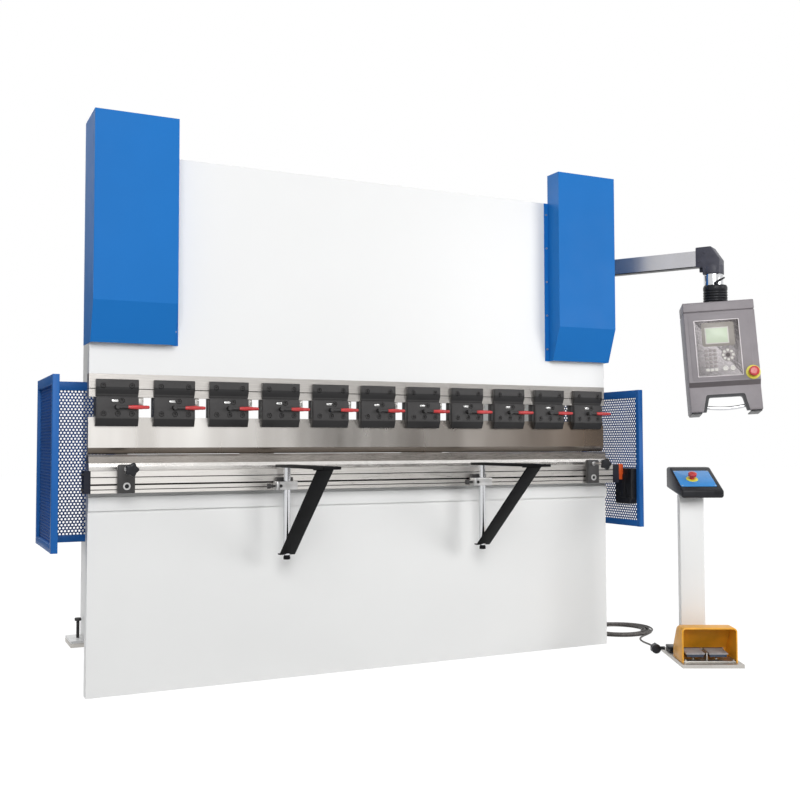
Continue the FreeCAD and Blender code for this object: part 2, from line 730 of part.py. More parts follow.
def along_ram(name, master):
    """Copies of one piece at every clamp, as separate solids of one node."""
    copies = []
    for index in range(clamp_count):
        copy = master.Shape.copy()
        copy.translate(Vector(first_clamp + index * size.clamp_pitch.number, 0, 0))
        copies.append(copy)
    row_of_pieces = document.addObject("Part::Feature", name)
    row_of_pieces.Shape = Part.makeCompound(copies)
    return row_of_pieces


node("clamp_plates", along_ram("clamp_plate_row", clamp_plate))
node("clamp_blocks", along_ram("clamp_block_row", clamp_back))

# Clamp levers: a pivot pin in the plate, a bent-free shank and a grip in front of the plate

lever_plane = clamp_face - size.lever_grip_radius - size.lever_clear
pin_start = plate_back - gap * 3
lever_pin = rod("lever_pin", "y", (lever_pivot, lever_plane, lever_height),
                pin_start - lever_plane, size.lever_pin_radius)
lever_hub = rod("lever_hub", "y",
                (lever_pivot, lever_plane - size.lever_radius, lever_height),
                size.lever_radius * 2, size.lever_radius + size.lever_pin_radius / 2)
lever_shank = rod("lever_shank", "x", (lever_pivot, lever_plane, lever_height),
                  size.lever_length - size.lever_grip_length + 1, size.lever_radius)
lever_grip = rod("lever_grip", "x",
                 (lever_pivot + size.lever_length - size.lever_grip_length, lever_plane,
                  lever_height), size.lever_grip_length, size.lever_grip_radius)
lever = fuse("lever", [lever_pin, lever_hub, lever_shank, lever_grip])
document.recompute()
for index in range(clamp_count):
    copy = lever.Shape.copy()
    copy.translate(Vector(first_clamp + index * size.clamp_pitch.number, 0, 0))
    one_lever = document.addObject("Part::Feature", "lever_at_%d" % (index + 1))
    one_lever.Shape = copy
    node("clamp_lever_%d" % (index + 1), one_lever)

# Side frames: C-shaped plates with the throat, carried on levelling lugs

frame_inner = size.frame_outer - size.frame_thickness
frame_front = bed_back
lug_bottom = size.frame_clear
frame_blank = prism("frame_blank", "YZ_Plane", [
    (frame_front, size.frame_clear),
    (size.frame_rear, size.frame_clear),
    (size.frame_rear, frame_top - size.frame_rear_slope),
    (size.frame_rear - size.frame_rear_slope, frame_top),
    (size.cylinder_seat, frame_top),
    (size.cylinder_seat, throat_top),
    (size.throat_depth, throat_top),
    (size.throat_depth, throat_bottom),
    (frame_front, throat_bottom),
], (frame_inner, size.frame_outer))
round_edges(frame_blank, "throat_fillet", size.throat_radius,
            lambda point: near(point.y, size.throat_depth)
            and (near(point.z, throat_top) or near(point.z, throat_bottom)))
lugs = []
lug_holes = []
bolt_x = size.frame_outer + size.bolt_place
for label, lug_y in (("front", size.lug_front), ("rear", size.lug_rear)):
    lugs.append(box("lug_" + label, (size.frame_outer, size.frame_outer + size.lug_width),
                    (lug_y - size.lug_length / 2, lug_y + size.lug_length / 2),
                    (lug_bottom, lug_bottom + size.lug_height)))
    lug_holes.append(rod("lug_hole_" + label, "z", (bolt_x, lug_y, lug_bottom),
                         size.lug_height, size.bolt_radius + gap))
frame_with_lugs = fuse("frame_with_lugs", [frame_blank] + lugs)
right_frame = cut("right_frame", frame_with_lugs, fuse("lug_holes", lug_holes))
node("side_frame_right", right_frame)
node("side_frame_left", mirrored("left_frame", right_frame))


def levelling_foot(label, side, lug_y):
    """A steel block on the floor and the bolt that bears on it, as one seated pair."""
    x = bolt_x * side
    block = box("foot_" + label, (x - size.foot_width / 2, x + size.foot_width / 2),
                (lug_y - size.foot_length / 2, lug_y + size.foot_length / 2),
                (0, size.frame_clear))
    shank = rod("foot_shank_" + label, "z", (x, lug_y, size.frame_clear),
                size.bolt_top - size.frame_clear, size.bolt_radius)
    head = document.addObject("Part::Prism", "foot_head_" + label)
    head.Polygon = 6
    bind(head, "Circumradius", size.bolt_head_radius)
    bind(head, "Height", size.bolt_head_height)
    place(head, x, lug_y, size.bolt_top - size.bolt_head_height)
    return fuse("levelling_foot_" + label, [block, shank, head])


node("levelling_feet", group("levelling_feet_set", [
    levelling_foot("front_left", -1, size.lug_front),
    levelling_foot("front_right", 1, size.lug_front),
    levelling_foot("rear_left", -1, size.lug_rear),
    levelling_foot("rear_right", 1, size.lug_rear),
]))

# Tie beams across the back of the side frames

tie_rear = size.frame_rear - size.tie_depth
node("tie_beams", group("tie_beam_set", [
    box("lower_tie", (-frame_inner, frame_inner), (tie_rear, size.frame_rear),
        (size.lower_tie_bottom, size.lower_tie_bottom + size.tie_height)),
    box("upper_tie", (-frame_inner, frame_inner), (tie_rear, size.frame_rear),
        (upper_tie_bottom, upper_tie_bottom + size.tie_height)),
]))

# Cylinders on the front edges of the side frames, and the piston rods on the ram

rod_top = cylinder_bottom + size.rod_inside


def cylinder(label, side):
    x = size.cylinder_place * side
    barrel = rod("barrel_" + label, "z", (x, 0, cylinder_bottom),
                 size.cylinder_height, size.cylinder_radius)
    flange = box("flange_" + label,
                 (x - size.cylinder_flange / 2, x + size.cylinder_flange / 2),
                 (-size.cylinder_radius, size.cylinder_seat),
                 (cylinder_bottom, cylinder_bottom + size.cylinder_flange_height))
    saddle = box("saddle_" + label,
                 (x - size.cylinder_flange / 3, x + size.cylinder_flange / 3),
                 (0, size.cylinder_seat), (cylinder_bottom, frame_top))
    bore = rod("bore_" + label, "z", (x, 0, cylinder_bottom),
               size.rod_inside + size.ram_stroke + size.rod_foot_height,
               size.rod_radius + gap)
    return cut("cylinder_" + label, fuse("cylinder_body_" + label, [barrel, flange, saddle]), bore)


def piston_rod(label, side):
    x = size.cylinder_place * side
    foot = rod("rod_foot_" + label, "z", (x, 0, ram_shoulder), size.rod_foot_height,
               size.ram_thickness / 2)
    stem = rod("rod_stem_" + label, "z", (x, 0, ram_shoulder + size.rod_foot_height / 2),
               rod_top - ram_shoulder - size.rod_foot_height / 2, size.rod_radius)
    return fuse("piston_rod_" + label, [foot, stem])


node("cylinders", group("cylinder_pair", [cylinder("left", -1), cylinder("right", 1)]))
node("piston_rods", group("piston_rod_pair", [piston_rod("left", -1), piston_rod("right", 1)]))

# Oil tank between the side frames, with the pump motor on its lid

tank_top = tank_bottom + size.tank_height
node("oil_tank", fuse("tank", [
    box("tank_body", (-frame_inner, frame_inner),
        (size.tank_front, size.tank_front + size.tank_depth), (tank_bottom, tank_top)),
    box("tank_cover", (-frame_inner, frame_inner),
        (size.tank_front - size.tank_rim, size.tank_front + size.tank_depth + size.tank_rim),
        (tank_top, tank_top + size.tank_lid)),
]))

motor_base = tank_top + size.tank_lid
motor_axis = motor_base + size.motor_radius + size.tank_rim
tank_middle = size.tank_front + size.tank_depth / 2
node("pump_motor", fuse("motor", [
    rod("motor_body", "x",
        (size.motor_place - size.motor_length / 2, tank_middle, motor_axis),
        size.motor_length, size.motor_radius),
    box("motor_foot",
        (size.motor_place - size.motor_length / 3, size.motor_place + size.motor_length / 3),
        (tank_middle - size.motor_radius * 0.8, tank_middle + size.motor_radius * 0.8),
        (motor_base, motor_axis - size.motor_radius * 0.4)),
    rod("pump_body", "x",
        (size.motor_place + size.motor_length / 2, tank_middle, motor_axis),
        size.motor_length / 2, size.motor_radius * 0.6),
]))

# Back gauge: two arms on the bed, a beam across them and two stop fingers

beam_front = size.gauge_beam_place - size.gauge_beam_size / 2
beam_rear = size.gauge_beam_place + size.gauge_beam_size / 2
beam_top = gauge_arm_top + size.gauge_beam_size
gauge_pieces = [
    box("gauge_cross_beam", (-size.gauge_beam_length / 2, size.gauge_beam_length / 2),
        (beam_front, beam_rear), (gauge_arm_top, beam_top)),
]
for label, side in (("left", -1), ("right", 1)):
    arm_x = size.gauge_place * side
    gauge_pieces.append(box(
        "gauge_arm_" + label,
        (arm_x - size.gauge_arm_width / 2, arm_x + size.gauge_arm_width / 2),
        (bed_back, bed_back + size.gauge_arm_length),
        (gauge_arm_top - size.gauge_arm_height, gauge_arm_top)))
    finger_x = size.finger_place * side
    gauge_pieces.append(box(
        "gauge_finger_" + label,
        (finger_x - size.finger_width / 2, finger_x + size.finger_width / 2),
        (beam_rear - size.finger_reach, beam_rear), (beam_top, beam_top + size.finger_height)))
node("back_gauge", fuse("back_gauge_frame", gauge_pieces))

# Covers over the cylinders: bent sheet screwed to the ram, open at the back

cover_inner = half_length - size.cover_width
cover_outer = half_length + size.cover_sheet
cover_front = ram_face - size.cover_proud
cover_chin = ram_face - size.cover_chin
sheet_gauge = size.cover_sheet


def cover_profile(inset, name, span):
    """The side outline of a cover, drawn in by inset, padded across the cover."""
    return prism(name, "YZ_Plane", [
        (cover_front + inset, cover_fold),
        (cover_chin + inset, cover_bottom),
        (size.cover_wrap, cover_bottom),
        (size.cover_wrap, cover_top - inset),
        (cover_front + inset, cover_top - inset),
    ], span)


cover_shell = cut("cover_shell",
                  cover_profile(as_length(0), "cover_outside", (cover_inner, cover_outer)),
                  cover_profile(sheet_gauge, "cover_inside",
                                (cover_inner + sheet_gauge, cover_outer - sheet_gauge)))
behind_ram = box("cover_trim", (cover_inner - 1, cover_outer - sheet_gauge),
                 (ram_face, size.cover_wrap + 1), (cover_bottom - 1, cover_top + 1))
cover_flange = box("cover_flange", (cover_inner - size.cover_flange, cover_inner + sheet_gauge),
                   (ram_face - sheet_gauge, ram_face), (cover_bottom, ram_top))
right_cover = fuse("right_cover", [cut("cover_open", cover_shell, behind_ram), cover_flange])
node("cover_right", right_cover)
node("cover_left", mirrored("left_cover", right_cover))

# Side guards: a welded frame with a sheet in it, wrapped round the corner to the side frame


def guard(label):
    """Post, rails and sheets of the right guard; the left one is its mirror image."""
    outer = size.guard_outer
    inner = outer - size.guard_post
    front = -size.guard_front
    rear = size.guard_rear
    low, high = guard_bottom, guard_top
    rails = ((low, low + size.guard_bottom_rail), (high - size.guard_top_rail, high))
    pieces = [
        box("guard_front_post", (inner, outer), (front, front + size.guard_post), (low, high)),
        box("guard_rear_post", (inner, outer), (rear - size.guard_post, rear), (low, high)),
        box("guard_wall_post", (size.frame_outer, size.frame_outer + size.guard_post),
            (rear - size.guard_post, rear), (low, high)),
        box("guard_side_sheet",
            (outer - size.guard_post / 2, outer - size.guard_post / 2 + size.guard_sheet),
            (front + size.guard_post / 2, rear - size.guard_post / 2), (low, high)),
        box("guard_rear_sheet", (size.frame_outer, outer - size.guard_post / 2),
            (rear - size.guard_post / 2, rear - size.guard_post / 2 + size.guard_sheet),
            (low, high)),
    ]
    for order, rail in enumerate(rails):
        pieces.append(box("guard_side_rail_%d" % order, (inner, outer), (front, rear), rail))
        pieces.append(box("guard_rear_rail_%d" % order, (size.frame_outer, outer),
                          (rear - size.guard_post, rear), rail))
    return fuse(label, pieces)


right_guard = guard("right_guard")
node("guard_right", right_guard)
node("guard_left", mirrored("left_guard", right_guard))

switch_back = size.guard_outer - size.guard_post / 2
switch_face = switch_back - size.switch_width
node("guard_switch", group("guard_switch_set", [
    box("switch_box", (switch_face, switch_back),
        (-size.switch_front, -size.switch_front + size.switch_depth),
        (switch_bottom, switch_bottom + size.switch_height)),
    box("switch_actuator", (switch_face - size.actuator_width, switch_face - gap),
        (-size.switch_front + size.switch_depth / 2,
         -size.switch_front + size.switch_depth / 2 + size.actuator_depth),
        (actuator_bottom, actuator_bottom + size.actuator_height)),
]))

# Sheet supports: a carriage on the rail and a braced arm on a post that it clamps

post_y = rail_face - size.support_post_front
block_top = clamp_block_bottom + size.clamp_block_height


def support_carriage(label, middle):
    """The split block that rides on the rail and holds the post."""
    block = box("carriage_block_" + label,
                (middle - size.clamp_block_width / 2, middle + size.clamp_block_width / 2),
                (post_y - size.support_post_radius * 1.5, rail_face - gap),
                (clamp_block_bottom, block_top))
    tongue = box("carriage_tongue_" + label,
                 (middle - size.clamp_block_width / 3, middle + size.clamp_block_width / 3),
                 (rail_face - gap, slot_mouth + size.rail_tee_depth / 2),
                 (slot_centre - size.rail_slot_width / 2 + gap,
                  slot_centre + size.rail_slot_width / 2 - gap))
    hole = rod("carriage_hole_" + label, "z", (middle, post_y, clamp_block_bottom),
               size.clamp_block_height, size.support_post_radius + gap)
    handle = rod("carriage_handle_" + label, "x",
                 (middle - size.clamp_block_width / 2 - size.clamp_handle_length + 1,
                  post_y, clamp_block_bottom + size.clamp_block_height / 2),
                 size.clamp_handle_length, size.clamp_handle_radius)
    return cut("carriage_" + label, fuse("carriage_body_" + label, [block, tongue, handle]), hole)


def support_arm(label, middle):
    """The post, its nut, the top plate and the brace under it."""
    plate_under = support_top - size.support_plate
    post = rod("support_post_" + label, "z", (middle, post_y, support_post_bottom),
               plate_under - support_post_bottom + 1, size.support_post_radius)
    nut = rod("support_nut_" + label, "z",
              (middle, post_y, support_post_bottom - size.support_nut_height),
              size.support_nut_height + 1, size.support_nut_radius)
    plate = box("support_plate_" + label,
                (middle - size.support_width / 2, middle + size.support_width / 2),
                (rail_face - size.support_reach, rail_face - size.support_root_gap),
                (plate_under, support_top))
    brace_end = post_y - size.brace_reach
    brace = prism("support_brace_" + label, "YZ_Plane", [
        (post_y - size.support_post_radius * 0.5, support_post_bottom),
        (post_y + size.support_post_radius * 0.5, support_post_bottom),
        (post_y + size.support_post_radius * 0.5,
         support_post_bottom + size.brace_sheet * 2),
        (brace_end + size.brace_sheet * 2, plate_under + 1),
        (brace_end, plate_under + 1),
        (brace_end, plate_under - size.brace_sheet),
    ], (middle - size.brace_width / 2, middle + size.brace_width / 2))
    return fuse("support_" + label, [post, nut, plate, brace])


for label, middle in (("left", size.support_left_place), ("right", size.support_right_place)):
    node("support_carriage_" + label, support_carriage(label, middle))
    node("support_arm_" + label, support_arm(label, middle))

# Stop blocks with their star knobs, one near each end of the rail


def star_knob(label, middle, start, height):
    """A round core with lobes evenly round it."""
    pieces = [rod("knob_core_" + label, "y", (middle, start, height), size.knob_length,
                  size.knob_core_radius)]
    lobe_circle = size.knob_radius - size.knob_lobe_radius
    for order in range(int(size.knob_lobes.number)):
        angle = 2 * math.pi * order / size.knob_lobes.number
        pieces.append(rod("knob_lobe_%s_%d" % (label, order), "y",
                          (middle + lobe_circle * math.sin(angle), start,
                           height + lobe_circle * math.cos(angle)),
                          size.knob_length, size.knob_lobe_radius))
    return fuse("stop_knob_" + label, pieces)


def stop_block(label, side):
    middle = size.stop_place * side
    front = rail_face - gap - size.stop_depth
    top = stop_bottom + size.stop_height
    half = size.stop_width / 2
    block = prism("stop_body_" + label, "XZ_Plane", [
        (middle - half, stop_bottom), (middle + half, stop_bottom),
        (middle + half, top), (middle - half, top),
    ], (front, rail_face - gap))
    round_edges(block, "stop_round_" + label, size.stop_corner,
                lambda point: near(point.z, top)
                and (near(point.x, middle - half) or near(point.x, middle + half)))
    tongue = box("stop_tongue_" + label,
                 (middle - size.stop_width / 3, middle + size.stop_width / 3),
                 (rail_face - gap, slot_mouth + size.rail_tee_depth / 2),
                 (slot_centre - size.rail_slot_width / 2 + gap,
                  slot_centre + size.rail_slot_width / 2 - gap))
    knob_z = top - size.knob_drop
    knob_back = front - size.knob_stem_length
    stem = rod("stop_stem_" + label, "y", (middle, knob_back, knob_z),
               size.knob_stem_length + 1, size.knob_stem_radius)
    knob = star_knob(label, middle, knob_back - size.knob_length, knob_z)
    return fuse("stop_block_" + label, [block, tongue, stem, knob])


node("stop_block_left", stop_block("west", -1))
node("stop_block_right", stop_block("east", 1))

# Electrical cabinet on the outside of the right frame

node("control_cabinet", box(
    "cabinet", (size.frame_outer, size.frame_outer + size.cabinet_width),
    (size.cabinet_front, size.cabinet_front + size.cabinet_depth),
    (size.cabinet_bottom, size.cabinet_bottom + size.cabinet_height)))

# Pendant arm: bracket with pin on the frame, box bar, elbow

arm_bottom = arm_top - size.arm_height
bracket_low = arm_bottom - gap - size.arm_ear
bracket_high = arm_top + gap + size.arm_ear
ear_back = size.frame_outer
node("arm_bracket", fuse("bracket", [
    box("bracket_plate", (ear_back, ear_back + size.arm_ear / 2),
        (size.arm_pivot_y - size.arm_boss_radius, size.arm_pivot_y + size.arm_boss_radius),
        (bracket_low, bracket_high)),
    box("bracket_lower_ear", (ear_back, size.arm_pivot_x),
        (size.arm_pivot_y - size.arm_boss_radius, size.arm_pivot_y + size.arm_boss_radius),
        (bracket_low, bracket_low + size.arm_ear)),
    box("bracket_upper_ear", (ear_back, size.arm_pivot_x),
        (size.arm_pivot_y - size.arm_boss_radius, size.arm_pivot_y + size.arm_boss_radius),
        (bracket_high - size.arm_ear, bracket_high)),
    rod("bracket_lower_boss", "z", (size.arm_pivot_x, size.arm_pivot_y, bracket_low),
        size.arm_ear, size.arm_boss_radius),
    rod("bracket_upper_boss", "z",
        (size.arm_pivot_x, size.arm_pivot_y, bracket_high - size.arm_ear),
        size.arm_ear, size.arm_boss_radius),
    rod("bracket_pin", "z", (size.arm_pivot_x, size.arm_pivot_y, bracket_low),
        bracket_high - bracket_low, size.arm_pin_radius),
]))


def turned(name, source, x, y, heading):
    """A piece that is drawn along X from the origin, turned about Z and set down at x, y."""
    document.recompute()
    whole = document.addObject("Part::Compound", name)
    whole.Links = [source]
    bind(whole, "Placement.Base.x", x)
    bind(whole, "Placement.Base.y", y)
    whole.setExpression("Placement.Rotation.Axis.z", "1")
    bind(whole, "Placement.Rotation.Angle", heading)
    return whole


bar_start = size.arm_boss_radius * 0.8
arm_tube = cut("arm_tube", box("arm_outside", (bar_start, size.arm_length),
                               (-size.arm_width / 2, size.arm_width / 2),
                               (arm_bottom, arm_top)),
               box("arm_inside", (size.arm_boss_radius * 2, size.arm_length),
                   (-size.arm_width / 2 + size.arm_wall, size.arm_width / 2 - size.arm_wall),
                   (arm_bottom + size.arm_wall, arm_top - size.arm_wall)))
arm_boss = rod("arm_boss", "z", (0, 0, arm_bottom), size.arm_height, size.arm_boss_radius)
arm_hole = rod("arm_hole", "z", (0, 0, arm_bottom), size.arm_height, size.arm_pin_radius + gap)
arm_bar = cut("arm_with_hole", fuse("arm_with_boss", [arm_tube, arm_boss]), arm_hole)
node("arm_bar", turned("arm_bar_set", arm_bar, size.arm_pivot_x, size.arm_pivot_y,
                       size.arm_heading))

elbow_axis = size.arm_length + size.elbow_reach
elbow_block = prism("elbow_block", "XZ_Plane", [
    (size.arm_length, arm_bottom - size.elbow_wall),
    (elbow_axis - size.elbow_half, arm_bottom - size.elbow_wall),
    (elbow_axis - size.elbow_half, elbow_bottom),
    (elbow_axis + size.elbow_half, elbow_bottom),
    (elbow_axis + size.elbow_half, arm_top - size.elbow_radius),
    (elbow_axis, arm_top + size.elbow_crown),
    (size.arm_length, arm_top + size.elbow_crown),
], (-size.elbow_half, size.elbow_half))
round_edges(elbow_block, "elbow_round", size.elbow_corner,
            lambda point: near(point.x, elbow_axis + size.elbow_half)
            and near(point.z, arm_top - size.elbow_radius)
            or near(point.x, elbow_axis)
            and near(point.z, arm_top + size.elbow_crown))
elbow_foot = rod("elbow_foot", "z", (elbow_axis, 0, elbow_bottom), size.elbow_foot,
                 size.elbow_radius)
node("arm_elbow", turned("arm_elbow_set", fuse("elbow", [elbow_block, elbow_foot]),
                         size.arm_pivot_x, size.arm_pivot_y, size.arm_heading))

# Pendant: spigot and ribbed swivel under the elbow, then the leaning box with its handle

heading = math.radians(size.arm_heading.number)
pendant_x = size.arm_pivot_x.number + elbow_axis.number * math.cos(heading)
pendant_y = size.arm_pivot_y.number + elbow_axis.number * math.sin(heading)
spigot_top = elbow_bottom - gap
swivel_top = spigot_top - size.spigot_length
swivel_bottom = swivel_top - size.swivel_length
spigot = rod("spigot", "z", (0, 0, swivel_top), size.spigot_length, size.spigot_radius)
swivel_body = rod("swivel_body", "z", (size.pendant_offset, 0, swivel_bottom),
                  size.swivel_length, size.swivel_radius)
swivel_rings = []
ring_pitch = size.swivel_length / 4
for index in range(3):
    ring_z = swivel_bottom + ring_pitch * (index + 1) - size.swivel_groove / 2
    ring_outer = rod("ring_outer_%d" % index, "z", (size.pendant_offset, 0, ring_z),
                     size.swivel_groove, size.swivel_radius + 1)
    ring_inner = rod("ring_inner_%d" % index, "z", (size.pendant_offset, 0, ring_z),
                     size.swivel_groove, size.swivel_radius - size.swivel_groove)
    swivel_rings.append(cut("ring_%d" % index, ring_outer, ring_inner))
swivel = fuse("swivel", [spigot, cut("swivel_ribbed", swivel_body,
                                     fuse("swivel_rings", swivel_rings))])
node("pendant_swivel", turned("pendant_swivel_set", swivel, pendant_x, pendant_y,
                              size.pendant_heading))

pendant_half = size.pendant_width / 2
pendant_front = -size.pendant_depth / 2
pendant_rear = size.pendant_depth / 2
leg_front = pendant_front + size.pendant_depth - size.pendant_leg_depth
slope_end = size.pendant_slope + size.pendant_slope_height
pendant_blank = prism("pendant_blank", "YZ_Plane", [
    (pendant_front, 0),
    (pendant_front, -size.pendant_slope),
    (leg_front, -slope_end),
    (leg_front, -size.pendant_height),
    (pendant_rear, -size.pendant_height),
    (pendant_rear, 0),
], (-pendant_half, pendant_half))
handle_gap = prism("handle_gap", "XZ_Plane", [
    (-size.handle_upper_width / 2, -size.handle_top),
    (-size.handle_lower_width / 2, -size.pendant_height - 1),
    (size.handle_lower_width / 2, -size.pendant_height - 1),
    (size.handle_upper_width / 2, -size.handle_top),
], (pendant_front - 1, pendant_rear + 1))
seam_span = (-size.pendant_cap - size.pendant_seam, -size.pendant_cap)
cap_seam = cut("cap_seam",
               box("cap_seam_outside", (-pendant_half - 1, pendant_half + 1),
                   (pendant_front - 1, pendant_rear + 1), seam_span),
               box("cap_seam_inside",
                   (-pendant_half + size.pendant_seam, pendant_half - size.pendant_seam),
                   (pendant_front + size.pendant_seam, pendant_rear - size.pendant_seam),
                   seam_span))
pendant_body = cut("pendant_body", cut("pendant_seamed", pendant_blank, cap_seam), handle_gap)
document.recompute()


def pendant_handle():
    """A round bar on a shallow arc from leg to leg."""
    reach = size.handle_lower_width.number / 2 + 4
    height = -size.handle_height.number
    depth = (leg_front.number + pendant_rear.number) / 2
    arc = Part.Arc(Vector(-reach, depth, height),
                   Vector(0, depth, height - size.handle_sag.number),
                   Vector(reach, depth, height))
    path = Part.Wire([arc.toShape()])
    start = path.Edges[0]
    circle = Part.makeCircle(size.handle_radius.number, start.valueAt(start.FirstParameter),
                             start.tangentAt(start.FirstParameter))
    bar = document.addObject("Part::Feature", "pendant_handle_bar")
    bar.Shape = path.makePipeShell([Part.Wire([circle])], True, False)
    return bar


collar = rod("pendant_collar", "y",
             (size.stop_button_x, pendant_front - size.button_collar_height,
              -size.stop_button_z), size.button_collar_height, size.button_collar_radius)
stem_hole = rod("pendant_stem_hole", "y",
                (size.stop_button_x, pendant_front - size.button_collar_height,
                 -size.stop_button_z),
                size.button_collar_height + size.button_stem_length + size.button_travel + 4,
                size.button_stem_radius + gap)
pendant_box = cut("pendant_box_open",
                  fuse("pendant_box_whole", [pendant_body, pendant_handle(), collar]), stem_hole)


def stop_button(label, x, y, z, radius):
    """The red head and its stem, drawn with the stem along positive Y."""
    head_front = y - size.button_collar_height - size.button_stem_length - size.button_height
    head = rod("button_head_" + label, "y", (x, head_front, z), size.button_height, radius)
    stem = rod("button_stem_" + label, "y", (x, head_front + size.button_height - 1, z),
               size.button_stem_length * 2 + 1, size.button_stem_radius)
    return fuse("button_" + label, [head, stem])


pendant_button = stop_button("pendant", size.stop_button_x, pendant_front,
                             -size.stop_button_z, size.button_radius)


def hung(name, source):
    """A piece of the pendant, leaned back, out of level and turned under the swivel."""
    document.recompute()
    lean = FreeCAD.Rotation(Vector(1, 0, 0), -size.pendant_tilt.number)
    roll = FreeCAD.Rotation(Vector(0, 1, 0), -size.pendant_roll.number)
    turn = FreeCAD.Rotation(Vector(0, 0, 1), size.pendant_heading.number)
    slope = math.hypot(math.sin(math.radians(size.pendant_tilt.number)),
                       math.sin(math.radians(size.pendant_roll.number)))
    top = swivel_bottom.number - slope * size.swivel_radius.number - gap.number
    piece = document.addObject("Part::Feature", name)
    piece.Shape = source.Shape.copy()
    shift = turn.multVec(Vector(size.pendant_offset.number, 0, 0))
    piece.Placement = FreeCAD.Placement(Vector(pendant_x, pendant_y, top) + shift,
                                        turn.multiply(roll).multiply(lean))
    return piece


node("pendant_box", hung("pendant_box_set", pendant_box))
node("stop_button_pendant", hung("stop_button_pendant_set", pendant_button))

# Foot switch stand, drawn with its near left corner at the origin


def stood(name, source):
    return turned(name, source, size.stand_x, size.stand_y, size.stand_heading)


pivot_z = size.stand_plate + size.pedal_pivot_height
pivot_y = size.pedal_front + size.pedal_length
right_pedal_left = size.pedal_left + size.pedal_width + size.pedal_gap
pedals_end = right_pedal_left + size.pedal_width
pedal_side = size.pedal_gap / 3
stand_pieces = [
    box("stand_base", (0, size.stand_width), (0, size.stand_depth), (0, size.stand_plate)),
    rod("pedal_pin", "x", (size.pedal_left - pedal_side, pivot_y, pivot_z),
        pedals_end - size.pedal_left + pedal_side * 2, size.pedal_pin_radius),
]
bearer_starts = (size.pedal_left - pedal_side,
                 size.pedal_left + size.pedal_width + pedal_side, pedals_end)
for order, start in enumerate(bearer_starts):
    stand_pieces.append(box("pedal_bearer_%d" % order, (start + 1, start + pedal_side - 1),
                            (pivot_y - size.pedal_boss_radius, pivot_y + size.pedal_boss_radius),
                            (0, pivot_z + size.pedal_boss_radius)))
node("stand_base_plate", stood("stand_base_set", fuse("stand_base_whole", stand_pieces)))

post_top = size.stand_plate + size.post_height
node("stand_post", stood("stand_post_set", box(
    "stand_post_box", (size.post_left, size.post_left + size.post_width),
    (size.post_front, size.post_front + size.post_depth), (size.stand_plate, post_top))))

head_rear = size.head_front + size.head_depth
head_blank = prism("head_blank", "YZ_Plane", [
    (size.head_front, size.head_bottom),
    (head_rear, size.head_rear_bottom),
    (head_rear, size.head_rear_top),
    (head_rear - size.head_crown, size.head_rear_top),
    (size.head_front, size.head_bottom + size.head_brow),
], (size.head_left, size.head_left + size.head_width))
face_run = size.head_depth - size.head_crown
face_rise = size.head_rear_top - size.head_bottom - size.head_brow
document.recompute()

face_angle = math.degrees(math.atan2(face_rise.number, face_run.number))
face_share = size.head_button_y.number / face_run.number
button_place = Vector(size.head_left.number + size.head_button_x.number,
                      size.head_front.number + size.head_button_y.number,
                      size.head_bottom.number + size.head_brow.number
                      + face_rise.number * face_share)
face_turn = FreeCAD.Rotation(Vector(1, 0, 0), face_angle - 90)


def on_face(name, source):
    """A piece drawn on a wall that faces negative Y, laid onto the head's sloping face."""
    document.recompute()
    piece = document.addObject("Part::Feature", name)
    piece.Shape = source.Shape.copy()
    piece.Placement = FreeCAD.Placement(button_place, face_turn).multiply(source.Placement)
    return piece


head_collar = rod("head_collar", "y", (0, -size.button_collar_height, 0),
                  size.button_collar_height + 1, size.stand_collar_radius)
head_stem_hole = rod("head_stem_hole", "y", (0, -size.button_collar_height, 0),
                     size.button_collar_height + size.button_stem_length
                     + size.button_travel + 4, size.button_stem_radius + gap)
head_body = cut("head_body", fuse("head_whole", [head_blank, on_face("head_collar_on", head_collar)]),
                on_face("head_hole_on", head_stem_hole))
post_socket = box("post_socket", (size.post_left, size.post_left + size.post_width),
                  (size.post_front, size.post_front + size.post_depth),
                  (size.stand_plate, post_top))
node("stand_head", stood("stand_head_set", cut("head_socketed", head_body, post_socket)))
node("stop_button_stand", stood("stop_button_stand_set",
                                on_face("stand_button_on", stop_button(
                                    "stand", 0, 0, 0, size.stand_button_radius))))

# Hood over the pedals: a rounded shell that is open to the front

hood_top = size.stand_plate + size.hood_height
hood_knee = size.stand_plate + size.hood_knee
hood_rear = size.hood_front + size.hood_depth
hood_right = size.hood_left + size.hood_width
hood_outside = prism("hood_outside", "YZ_Plane", [
    (size.hood_front, size.stand_plate),
    (hood_rear, size.stand_plate),
    (hood_rear, hood_knee),
    (size.hood_front + size.hood_top_depth, hood_top),
    (size.hood_front, hood_top),
], (size.hood_left, hood_right))
round_edges(hood_outside, "hood_round", size.hood_corner,
            lambda point: near(point.z, hood_top)
            and (near(point.x, size.hood_left) or near(point.x, hood_right)))
hood_inside = prism("hood_inside", "YZ_Plane", [
    (size.hood_front - 1, size.stand_plate - 1),
    (hood_rear - size.hood_wall, size.stand_plate - 1),
    (hood_rear - size.hood_wall, hood_knee - size.hood_wall / 3),
    (size.hood_front + size.hood_top_depth - size.hood_wall, hood_top - size.hood_wall),
    (size.hood_front - 1, hood_top - size.hood_wall),
], (size.hood_left + size.hood_wall, hood_right - size.hood_wall))
round_edges(hood_inside, "hood_inner_round", size.hood_corner - size.hood_wall,
            lambda point: near(point.z, hood_top - size.hood_wall)
            and (near(point.x, size.hood_left + size.hood_wall)
                 or near(point.x, hood_right - size.hood_wall)))
node("pedal_hood", stood("pedal_hood_set", cut("hood", hood_outside, hood_inside)))


